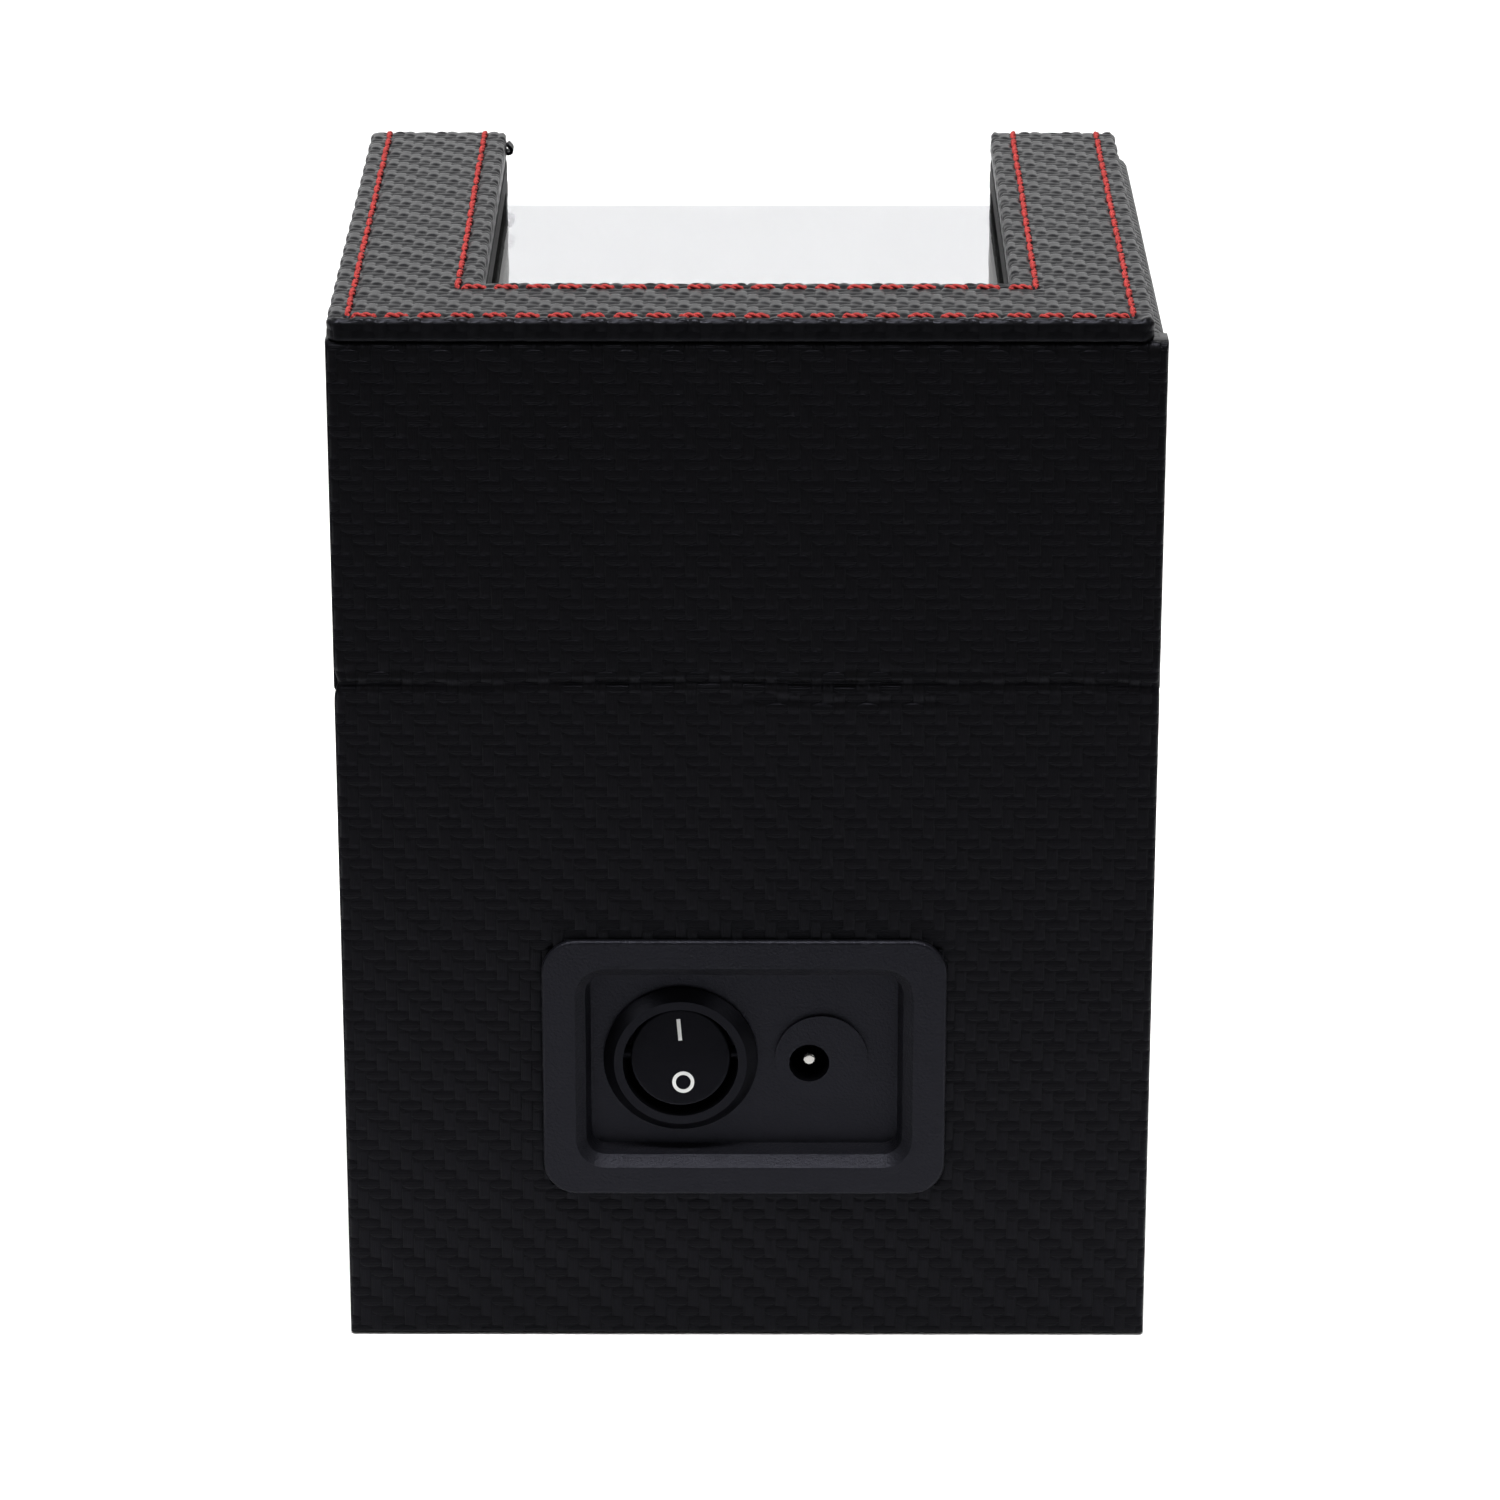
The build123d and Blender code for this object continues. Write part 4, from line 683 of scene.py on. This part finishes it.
class Panel:
    """A U-shaped panel laid out in its own millimetres: a across, b along, h outwards."""

    def __init__(self, name, low_a, high_a, closed_b, open_b, bar_b, back_h, face_h, to_world, weave_of):
        self.name = name
        self.low_a, self.high_a = low_a, high_a
        self.closed_b, self.open_b, self.bar_b = closed_b, open_b, bar_b
        self.back_h, self.face_h = back_h, face_h
        self.to_world = to_world
        self.weave_of = weave_of
        self.inward = 1.0 if open_b > closed_b else -1.0
        self.rows = self.stitch_rows()

    def stitch_rows(self):
        """Both rows, from their open ends round the closed end."""
        rows = []
        outer_b = self.closed_b + self.inward * OUTER_ROW_END
        inner_b = self.bar_b - self.inward * INNER_ROW_END
        low_outer, high_outer = self.low_a + OUTER_ROW_SIDE, self.high_a - OUTER_ROW_SIDE
        low_inner, high_inner = -notch_half - INNER_ROW_SIDE, notch_half + INNER_ROW_SIDE
        for low, high, end in ((low_outer, high_outer, outer_b), (low_inner, high_inner, inner_b)):
            rows.append(StitchRow((low, end), (low, self.open_b)))
            rows.append(StitchRow((high, end), (high, self.open_b)))
            rows.append(StitchRow((low, end), (high, end)))
        return rows

    def rounded(self, a, b):
        """Rounds the outer corners in plan, and the inner ones of the arms' ends."""
        corners = [
            (self.low_a, -1.0, self.closed_b, -self.inward, PANEL_CORNER),
            (self.high_a, 1.0, self.closed_b, -self.inward, PANEL_CORNER),
            (self.low_a, -1.0, self.open_b, self.inward, PANEL_END_CORNER),
            (self.high_a, 1.0, self.open_b, self.inward, PANEL_END_CORNER),
            (-notch_half, 1.0, self.open_b, self.inward, PANEL_END_CORNER),
            (notch_half, -1.0, self.open_b, self.inward, PANEL_END_CORNER),
        ]
        for edge_a, side_a, edge_b, side_b, radius in corners:
            centre_a, centre_b = edge_a - side_a * radius, edge_b - side_b * radius
            out_a, out_b = (a - centre_a) * side_a, (b - centre_b) * side_b
            if 0.0 < out_a < 2.0 * radius and 0.0 < out_b < 2.0 * radius:
                reach = max(out_a, out_b) / math.hypot(out_a, out_b)
                return centre_a + side_a * out_a * reach, centre_b + side_b * out_b * reach
        return a, b

    def mesh(self):
        """The wrapped panel: a fine face, rolled edges, walls and a back."""
        def steps(low, high):
            count = max(1, round(abs(high - low) / PANEL_PITCH))
            return [low + (high - low) * k / count for k in range(count + 1)]

        roll = PANEL_ROLL
        inner = notch_half + roll
        a_places = steps(self.low_a + roll, -inner)
        a_places += steps(-inner, inner)[1:] + steps(inner, self.high_a - roll)[1:]
        inset = self.inward * roll
        b_lines = (self.closed_b + inset, self.bar_b - inset, self.open_b - inset)
        b_places = steps(b_lines[0], b_lines[1]) + steps(b_lines[1], b_lines[2])[1:]
        if self.inward < 0:
            b_places.reverse()
        bm = bmesh.new()
        made = {}

        def vertex(i, j):
            if (i, j) not in made:
                vert = bm.verts.new((a_places[i], b_places[j], 0.0))
                made[(i, j)] = vert
            return made[(i, j)]

        for i in range(len(a_places) - 1):
            middle_a = (a_places[i] + a_places[i + 1]) / 2
            for j in range(len(b_places) - 1):
                middle_b = (b_places[j] + b_places[j + 1]) / 2
                if abs(middle_a) < inner and (middle_b - b_lines[1]) * self.inward > 0:
                    continue
                bm.faces.new((vertex(i, j), vertex(i + 1, j), vertex(i + 1, j + 1), vertex(i, j + 1)))
        bm.verts.index_update()
        place = {vert: (vert.co.x, vert.co.y, 0.0) for vert in bm.verts}
        sheet_normal = {vert: Vector((0, 0, 1)) for vert in bm.verts}
        border = [edge for edge in bm.edges if edge.is_boundary]
        outward = {}
        for edge in border:
            face = edge.link_faces[0]
            away = (edge.verts[0].co + edge.verts[1].co) / 2 - face.calc_center_median()
            away -= away.project(edge.verts[1].co - edge.verts[0].co)
            for vert in edge.verts:
                outward.setdefault(vert, []).append(away.normalized())
        ring = {}
        for vert, ways in outward.items():
            total = ways[0] + ways[1]
            ring[vert] = total / total.length * (1.0 / max(0.5, total.normalized().dot(ways[0])))
        height = self.face_h - self.back_h
        turns = arc(0, math.pi / 2, 5)[1:]
        profile = [(roll * math.sin(t), roll * (1 - math.cos(t)), roll * t, t) for t in turns]
        wall = 5
        for k in range(1, wall + 1):
            down = roll + (height - roll - PANEL_TUCK) * k / wall
            profile.append((roll, down, roll * math.pi / 2 + down - roll, math.pi / 2))
        for t in arc(0, math.pi / 2, 2)[1:]:
            down = height - PANEL_TUCK + PANEL_TUCK * math.sin(t)
            run = height + roll * 0.57
            profile.append((roll - PANEL_TUCK * (1 - math.cos(t)), down, run, math.pi / 2 + t))
        previous = {vert: vert for vert in ring}
        for out, down, run, tilt in profile:
            current = {}
            for vert, way in ring.items():
                fresh = bm.verts.new(vert.co + way * out)
                current[vert] = fresh
                place[fresh] = (vert.co.x + way.x * run, vert.co.y + way.y * run, down)
                sheet_normal[fresh] = Vector((way.x * math.sin(tilt), way.y * math.sin(tilt), math.cos(tilt)))
            for edge in border:
                first, second = edge.verts
                bm.faces.new((previous[first], previous[second], current[second], current[first]))
            previous = current
        back_edges = [edge for edge in bm.edges if edge.is_boundary]
        bmesh.ops.triangle_fill(bm, use_beauty=False, edges=back_edges)
        bmesh.ops.recalc_face_normals(bm, faces=bm.faces)
        layer = bm.loops.layers.uv.new("Weave")
        weave = {}
        for vert in bm.verts:
            flat_a, flat_b, down = place[vert]
            normal = sheet_normal[vert]
            weave[vert] = self.weave_of(flat_a, flat_b)
            press = sum(row.press(flat_a, flat_b) for row in self.rows) if down < roll else 0.0
            stretched = 1.0 - WALL_FLATTENED * soft_step(down, roll, 2.0)
            relief = PANEL_RELIEF * (twill_height(*weave[vert]) - RELIEF_MIDDLE) * stretched
            if down >= height - PANEL_TUCK:
                relief = 0.0
            a, b = self.rounded(vert.co.x, vert.co.y)
            vert.co = Vector((a, b, self.face_h - down)) + normal * (relief - press)
        for face in bm.faces:
            face.smooth = True
            for loop in face.loops:
                loop[layer].uv = weave[loop.vert]
        for vert in bm.verts:
            vert.co = Vector(self.to_world(*vert.co)) * MM
        bmesh.ops.recalc_face_normals(bm, faces=bm.faces)
        mesh = bpy.data.meshes.new(self.name)
        bm.to_mesh(mesh)
        bm.free()
        return mesh

    def stitching(self):
        """Every stitch of the panel: two plies twisted together, its ends pulled into the leather."""
        bm = bmesh.new()
        for row in self.rows:
            across = Vector((-row.along.y, row.along.x, 0.0))
            for index in range(row.count):
                middle = row.start + row.along * ((index + 0.5) * row.pitch)
                lean = random.uniform(-THREAD_LEAN, THREAD_LEAN)
                along = (row.along + across * lean).normalized()
                aside = across * random.uniform(-THREAD_ASIDE, THREAD_ASIDE)
                half = (row.pitch - STITCH_GAP) / 2 + random.uniform(-0.08, 0.06)
                turn = random.uniform(0.0, math.pi)
                for ply in (0.0, math.pi):
                    rings = []
                    for step in range(THREAD_CUTS + 1):
                        share = step / THREAD_CUTS
                        run = (share * 2.0 - 1.0) * half
                        lift = 0.02 + THREAD_LIFT * math.sin(math.pi * min(1.0, max(0.0, share))) ** 0.45
                        dip = THREAD_DIP * max(0.0, abs(share - 0.5) * 2.0 - 0.86) / 0.14
                        angle = ply + turn + share * 2.0 * math.pi * PLY_TURNS
                        pinch = 1.0 - 0.45 * max(0.0, abs(share - 0.5) * 2.0 - 0.7) / 0.3
                        centre = middle + aside + along * run
                        centre = centre + across * (math.cos(angle) * PLY_OFFSET * pinch)
                        level = self.face_h - THREAD_SUNK + lift - dip
                        centre.z = level + math.sin(angle) * PLY_OFFSET * pinch
                        ring_points = []
                        for side in range(THREAD_SIDES):
                            around = 2.0 * math.pi * side / THREAD_SIDES
                            way = across * math.cos(around) + Vector((0, 0, 1)) * math.sin(around)
                            spot = centre + way * THREAD_R * pinch
                            ring_points.append(bm.verts.new(Vector(self.to_world(*spot)) * MM))
                        rings.append(ring_points)
                    for first, second in zip(rings, rings[1:]):
                        for side in range(THREAD_SIDES):
                            after = (side + 1) % THREAD_SIDES
                            corners = (first[side], first[after], second[after], second[side])
                            bm.faces.new(corners).smooth = True
                    bm.faces.new(list(reversed(rings[0])))
                    bm.faces.new(rings[-1])
        bmesh.ops.recalc_face_normals(bm, faces=bm.faces)
        mesh = bpy.data.meshes.new(self.name + "_stitching")
        bm.to_mesh(mesh)
        bm.free()
        return mesh


PANE_LAP = 6.0
notch_half = (pane_high.x - pane_low.x) / 2 / MM - PANE_LAP
notch_bar_y = pane_high.y / MM - PANE_LAP
sill_z = pane_low.z / MM + PANE_LAP


def front_to_world(a, b, h):
    """The front panel's lower wall leans with the split plane."""
    lower = 1.0 - soft_step(b, front_panel.closed_b, front_panel.closed_b + FRONT_LEAN_REACH)
    return a, -h, b + lower * (front_panel.face_h - h) * rim_slope


top_panel = Panel(
    "top_panel_leather",
    panel_low.x / MM,
    panel_high.x / MM,
    panel_high.y / MM,
    panel_low.y / MM,
    notch_bar_y,
    panel_low.z / MM,
    panel_high.z / MM,
    lambda a, b, h: (a, b, h),
    lambda a, b: (-a, -b),
)
front_panel = Panel(
    "front_panel_leather",
    front_low.x / MM,
    front_high.x / MM,
    rim_height(front_low.y, -FRONT_GAP * MM) / MM,
    front_high.z / MM,
    sill_z,
    -front_high.y / MM,
    -front_low.y / MM,
    front_to_world,
    lambda a, b: (a, b),
)
relief_leather = leather("relief_twill_leather", mapped=True, relief=0.05)
for panel, node in ((top_panel, "top_panel"), (front_panel, "front_panel")):
    wrapped = new_piece(panel.name, panel.mesh(), relief_leather, "lid")
    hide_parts(node)
    thread = new_piece(panel.name + "_stitching", panel.stitching(), MATERIALS["thread"], "lid")
    if node == "top_panel":
        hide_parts("panel_stitching")


# ---- leather over the sides and fronts of base and lid ----
WALL_CORNER = 1.4 * MM
WALL_ROLL = 0.9 * MM
WALL_STEP = 2.0 * MM
RIM_TURN = 5.8 * MM
FOOT_TURN = 10.0 * MM
TOP_TURN = 12.0 * MM
LID_TOP_ROLL = 2.2 * MM
RIM_GAP = 0.2 * MM


def wall_places(inset, high_x, front_y, rear_y):
    """A line round three sides, this far inside the outer faces."""
    corner = max(inset, WALL_CORNER)
    bend = corner - inset
    centre_x, centre_y = high_x - corner, front_y + corner
    rear_steps = round((rear_y - front_y - WALL_CORNER) / WALL_STEP)
    front_steps = round(2 * (high_x - WALL_CORNER) / WALL_STEP)
    places = []
    for k in range(rear_steps + 1):
        y = rear_y - (rear_y - front_y - WALL_CORNER) * k / rear_steps
        places.append((high_x - inset, max(y, centre_y)))
    for angle in arc(0.0, math.pi / 2, 5)[1:]:
        places.append((centre_x + bend * math.cos(angle), centre_y - bend * math.sin(angle)))
    for k in range(1, front_steps):
        x = (high_x - WALL_CORNER) * (1 - 2 * k / front_steps)
        places.append((min(max(x, -centre_x), centre_x), front_y + inset))
    return places + [(-x, y) for x, y in reversed(places[: rear_steps + 6])]


def side_places(inset, high_x, front_y, rear_y):
    """A line along one side only, this far inside its outer face."""
    steps = round((rear_y - front_y) / WALL_STEP)
    return [(high_x - inset, rear_y - (rear_y - front_y) * k / steps) for k in range(steps + 1)]


def wall_profile(levels, low_turn, high_turn, high_roll):
    """Inset, share of the height, shift in height and extra weave run, from turned-in foot to rim."""
    entries = [(low_turn, 0.0, 0.0, -low_turn)]
    for angle in arc(0.0, math.pi / 2, 4):
        inset, shift = WALL_ROLL * (1 - math.sin(angle)), WALL_ROLL * (1 - math.cos(angle))
        entries.append((inset, 0.0, shift, WALL_ROLL * angle * CORNER_RUN))
    entries += [(0.0, k / levels, 0.0, 0.0) for k in range(1, levels)]
    for angle in arc(0.0, math.pi / 2, 4):
        shift = -high_roll * (1 - math.sin(angle))
        entries.append((high_roll * (1 - math.cos(angle)), 1.0, shift, -high_roll * (1 - angle) * CORNER_RUN))
    return entries + [(high_turn, 1.0, 0.0, high_turn)]


def wall_skin(name, node, body, places_at, low, high, turns):
    """Leather rolled over and turned in at its foot and its rim. low and high give heights by y."""
    box_low, box_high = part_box(node)
    line = (box_high.x, box_low.y, box_high.y)
    outer = places_at(0.0, *line)
    runs = [0.0]
    for first, second in zip(outer, outer[1:]):
        runs.append(runs[-1] + math.dist(first, second))
    levels = round((high(box_high.y) - low(box_low.y)) / WALL_STEP)
    points, weave = [], []
    for inset, share, shift, extra in wall_profile(levels, *turns):
        row, row_weave = [], []
        for (x, y), (_, outer_y), run in zip(places_at(inset, *line), outer, runs):
            middle = 0.0 < share < 1.0
            foot, rim = low(y) + WALL_ROLL * middle, high(y) - turns[2] * middle
            row.append((x, y, foot + (rim - foot) * share + shift))
            height = low(outer_y) + (high(outer_y) - low(outer_y)) * share
            row_weave.append((run * TO_MM, (height + extra) * TO_MM))
        points.append(row)
        weave.append(row_weave)
    mesh = grid_mesh(name, points, weave)
    bm = bmesh.new()
    bm.from_mesh(mesh)
    if places_at is side_places:
        copies = bmesh.ops.duplicate(bm, geom=bm.verts[:] + bm.edges[:] + bm.faces[:])["geom"]
        for vert in copies:
            if isinstance(vert, bmesh.types.BMVert):
                vert.co.x = -vert.co.x
        bmesh.ops.reverse_faces(bm, faces=[face for face in copies if isinstance(face, bmesh.types.BMFace)])
    bmesh.ops.remove_doubles(bm, verts=bm.verts, dist=1e-6)
    bmesh.ops.dissolve_degenerate(bm, dist=1e-6, edges=bm.edges)
    bm.to_mesh(mesh)
    bm.free()
    piece = new_piece(name, mesh, mapped_leather, body)
    thicken(piece, SKIN)
    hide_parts(node)


base_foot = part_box("base_wrap")[0].z
lid_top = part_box("lid_wrap")[1].z
wall_skin(
    "base_leather",
    "base_wrap",
    "base",
    wall_places,
    lambda y: base_foot,
    lambda y: rim_height(y, RIM_GAP),
    (FOOT_TURN, RIM_TURN, WALL_ROLL),
)
wall_skin(
    "lid_leather",
    "lid_wrap",
    "lid",
    side_places,
    lambda y: rim_height(y, -RIM_GAP),
    lambda y: lid_top,
    (RIM_TURN, TOP_TURN, LID_TOP_ROLL),
)


def rear_rim(name, body, gap, middle):
    """The strip of leather over the rear board's rim."""
    _, board_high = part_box("base_rear_board")
    half, rear_y = board_high.x, board_high.y
    steps = round(2 * half / WALL_STEP)
    depths = [rear_y - (RIM_TURN - SKIN) * k / 3 for k in range(4)]
    places = [-half + 2 * half * k / steps for k in range(steps + 1)]
    points = [[(x, y, rim_height(y, gap)) for x in places] for y in depths]
    weave = [[(x * TO_MM, y * TO_MM) for x in places] for y in depths]
    thicken(new_piece(name, grid_mesh(name, points, weave), mapped_leather, body), SKIN, middle)


rear_rim("base_rear_rim", "base", RIM_GAP, BOX_MIDDLE)
rear_rim("lid_rear_rim", "lid", -RIM_GAP, Vector((0.0, 0.0, lid_top)))


# ---- watch pillow, blown up by a cloth simulation ----
PILLOW_PRESSURE = 4.0
PILLOW_FRAMES = 20
PILLOW_SWELL = 1.1 * MM
PILLOW_VOXEL = 2.2 * MM


def pillow():
    """The CAD pillow, evenly meshed, blown up a little and smoothed."""
    source = nodes["watch_pillow"]
    mesh = source.data.copy()
    start = bpy.data.objects.new("pillow_start", mesh)
    bpy.context.scene.collection.objects.link(start)
    start.matrix_world = source.matrix_world.copy()
    start.data.transform(start.matrix_world)
    start.matrix_world.identity()
    remesh = start.modifiers.new("even_faces", "REMESH")
    remesh.mode = "VOXEL"
    remesh.voxel_size = PILLOW_VOXEL
    settle(start)
    rest_places = [vert.co.copy() for vert in start.data.vertices]
    cloth = start.modifiers.new("cover", "CLOTH")
    settings = cloth.settings
    settings.quality = 6
    settings.mass = 0.2
    settings.tension_stiffness = 40.0
    settings.compression_stiffness = 40.0
    settings.bending_stiffness = 4.0
    settings.use_pressure = True
    settings.uniform_pressure_force = PILLOW_PRESSURE
    settings.effector_weights.gravity = 0.0
    cloth.collision_settings.use_collision = False
    cloth.point_cache.frame_start = 1
    cloth.point_cache.frame_end = PILLOW_FRAMES
    scene = bpy.context.scene
    for step in range(1, PILLOW_FRAMES + 1):
        scene.frame_set(step)
    settle(start)
    scene.frame_set(1)
    for vert, rest in zip(start.data.vertices, rest_places):
        moved = vert.co - rest
        if moved.length > PILLOW_SWELL:
            moved *= PILLOW_SWELL / moved.length
        vert.co = rest + moved
    smooth = start.modifiers.new("finer", "SUBSURF")
    smooth.levels = smooth.render_levels = 1
    settle(start)
    final = start.data
    for face in final.polygons:
        face.use_smooth = True
    bpy.data.objects.remove(start)
    piece = new_piece("pillow_cushion", final, MATERIALS["pillow_leather"], "pillow")
    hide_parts("watch_pillow")


pillow()


# ---- printed marks on the rocker, and the pull tag ----
ROCKER_TILT = math.radians(8.6)
ROCKER_FACE = 3.2
MARK_PROUD = 0.02
BAR_HALF_WIDE = 0.28
BAR_HALF_HIGH = 1.65
RING_OUTER_R = 1.65
RING_INNER_R = 1.12
ON_PLACE = (0.18, 4.24)
OFF_PLACE = (-0.4, -3.83)
rocker_pivot = Vector(joints["rocker_switch"]["pos_m"]) / MM
rocker_out = Vector((0.0, math.cos(ROCKER_TILT), math.sin(ROCKER_TILT)))
rocker_up = Vector((0.0, -math.sin(ROCKER_TILT), math.cos(ROCKER_TILT)))


def ring_outline(radius, steps=28):
    angles = arc(0.0, 2 * math.pi, steps)[:-1]
    return [(radius * math.cos(angle), radius * math.sin(angle)) for angle in angles]


def rocker_mark(name, outer, inner, centre, lean):
    """A thin printed mark: an outline, or the band between two outlines, on the rocker's face."""
    bm = bmesh.new()
    turn = math.radians(lean)

    def vertex(place, out):
        across = place[0] * math.cos(turn) - place[1] * math.sin(turn) + centre[0]
        up = place[0] * math.sin(turn) + place[1] * math.cos(turn) + centre[1]
        spot = rocker_pivot + Vector((across, 0, 0)) + rocker_up * up + rocker_out * (ROCKER_FACE + out)
        return bm.verts.new(spot * MM)

    outlines = [outline for outline in (outer, inner) if outline]
    loops = [[[vertex(place, out) for place in outline] for outline in outlines] for out in (MARK_PROUD, 0.0)]
    count = len(outer)
    for k in range(count):
        after = (k + 1) % count
        for top, foot in zip(*loops):
            bm.faces.new((top[k], top[after], foot[after], foot[k]))
        if inner:
            for level in loops:
                bm.faces.new((level[0][k], level[0][after], level[1][after], level[1][k]))
    if not inner:
        for level in loops:
            bm.faces.new(level[0])
    bmesh.ops.recalc_face_normals(bm, faces=bm.faces)
    mesh = bpy.data.meshes.new(name)
    bm.to_mesh(mesh)
    bm.free()
    new_piece(name, mesh, print_white, "rocker")


bar = [(x * BAR_HALF_WIDE, y * BAR_HALF_HIGH) for x, y in ((1, -1), (1, 1), (-1, 1), (-1, -1))]
rocker_mark("mark_on", bar, None, ON_PLACE, -5.0)
rocker_mark("mark_off", ring_outline(RING_OUTER_R), ring_outline(RING_INNER_R), OFF_PLACE, 0.0)


TAG_THICK = 0.5
TAG_REACH = 0.7
TAG_WIDE = 2.6
TAG_CELLS = 6
TAG_RISE = 0.4
TAG_SET_BACK = 2.2


def pull_tag():
    """A small leather loop glued in the notch, at the front end of one arm."""
    reach = TAG_REACH
    edge_x, low_z = notch_half, panel_low.z / MM + TAG_RISE
    front_y = panel_low.y / MM + TAG_SET_BACK
    profile = [(0.0, 1.7), (-0.7 * reach, 1.25), (-reach, 0.9), (-0.8 * reach, 0.7), (0.0, 0.7)]
    places = [TAG_WIDE * k / TAG_CELLS for k in range(TAG_CELLS + 1)]
    rows = [[Vector((edge_x + a, front_y + y, low_z + z)) * MM for a, z in profile] for y in places]
    flat = [[(a * 2.0, y) for a, _ in profile] for y in places]
    piece = new_piece("pull_tag", grid_mesh("pull_tag", rows, flat), mapped_leather, "lid")
    smooth = piece.modifiers.new("smooth", "SUBSURF")
    smooth.levels = smooth.render_levels = 1
    settle(piece)
    thicken(piece, TAG_THICK * MM)
    for face in piece.data.polygons:
        face.use_smooth = True


pull_tag()


# ---- floor, light and camera ----
def area_light(name, place, target, size, power, spread_angle):
    lamp = bpy.data.lights.new(name, "AREA")
    lamp.shape = "RECTANGLE"
    lamp.size, lamp.size_y = size
    lamp.energy = power
    lamp.spread = math.radians(spread_angle)
    holder = bpy.data.objects.new(name, lamp)
    bpy.context.scene.collection.objects.link(holder)
    holder.location = place
    holder.rotation_euler = (Vector(target) - Vector(place)).to_track_quat("-Z", "Y").to_euler()


FLOOR_HALF = 6.0
FLOOR_CELLS = 4
floor_edges = [-FLOOR_HALF + 2 * FLOOR_HALF * k / FLOOR_CELLS for k in range(FLOOR_CELLS + 1)]
floor_mesh = grid_mesh(
    "floor",
    [[(x, y, 0.0) for x in floor_edges] for y in floor_edges],
    [[(x * TO_MM, y * TO_MM) for x in floor_edges] for y in floor_edges],
)
floor_material, floor_tree, floor_shader = shade("pale_floor")
floor_noise = noise(floor_tree, 3.0, 2.0)
floor_colour = ramp(floor_tree, floor_noise, (0.3, (0.86, 0.86, 0.865)), (0.7, (0.88, 0.88, 0.885)))
feed(floor_tree, floor_colour, floor_shader.inputs["Base Color"])
feed(floor_tree, spread(floor_noise, 0.75, 0.9), floor_shader.inputs["Roughness"])
floor = bpy.data.objects.new("floor", floor_mesh)
bpy.context.scene.collection.objects.link(floor)
floor_mesh.materials.append(floor_material)

# The studio is bright behind the box and dark on the camera's side.
WORLD_BEHIND = 1.9
WORLD_CAMERA = 0.05
WORLD_TURN = 0.85
WORLD_FADE = 0.5
world = bpy.data.worlds.new("studio")
bpy.context.scene.world = world
world.use_nodes = True
background = world.node_tree.nodes["Background"]
sky_place = world.node_tree.nodes.new("ShaderNodeTexCoord")
sky_parts = world.node_tree.nodes.new("ShaderNodeSeparateXYZ")
world.node_tree.links.new(sky_place.outputs["Generated"], sky_parts.inputs[0])
toward_camera = ((Field(world.node_tree, sky_parts.outputs[1]) + WORLD_TURN) / WORLD_FADE).low(1.0).high(0.0)
background.inputs["Color"].default_value = WHITE
feed(world.node_tree, spread(toward_camera, WORLD_BEHIND, WORLD_CAMERA), background.inputs["Strength"])

area_light("overhead_softbox", (0.0, -0.62, 1.1), (0.0, -0.62, 0.0), (1.6, 1.5), 10.5, spread_angle=26.0)
area_light("strip_light", (0.0, 0.22, 0.9), (0.0, 0.05, 0.1), (0.9, 0.1), 1.6, spread_angle=60.0)
area_light("left_softbox", (0.75, 0.45, 0.7), (0.0, 0.0, 0.09), (0.35, 0.6), 0.35, spread_angle=60.0)
area_light("right_softbox", (-0.75, 0.55, 0.6), (0.0, 0.0, 0.09), (0.35, 0.6), 0.25, spread_angle=60.0)

CAMERA_PLACE = Vector((-0.0024, 0.8441, 0.395))
CAMERA_PITCH = 20.76
CAMERA_YAW = -0.14
camera = bpy.data.cameras.new("camera")
camera.sensor_width = 36.0
camera.lens = 139.5
camera_object = bpy.data.objects.new("camera", camera)
bpy.context.scene.collection.objects.link(camera_object)
camera_object.location = CAMERA_PLACE
look = Vector((
    -math.sin(math.radians(CAMERA_YAW)) * math.cos(math.radians(CAMERA_PITCH)),
    -math.cos(math.radians(CAMERA_YAW)) * math.cos(math.radians(CAMERA_PITCH)),
    -math.sin(math.radians(CAMERA_PITCH)),
))
camera_object.rotation_euler = look.to_track_quat("-Z", "Y").to_euler()
bpy.context.scene.camera = camera_object
bpy.context.scene.view_settings.view_transform = "Standard"
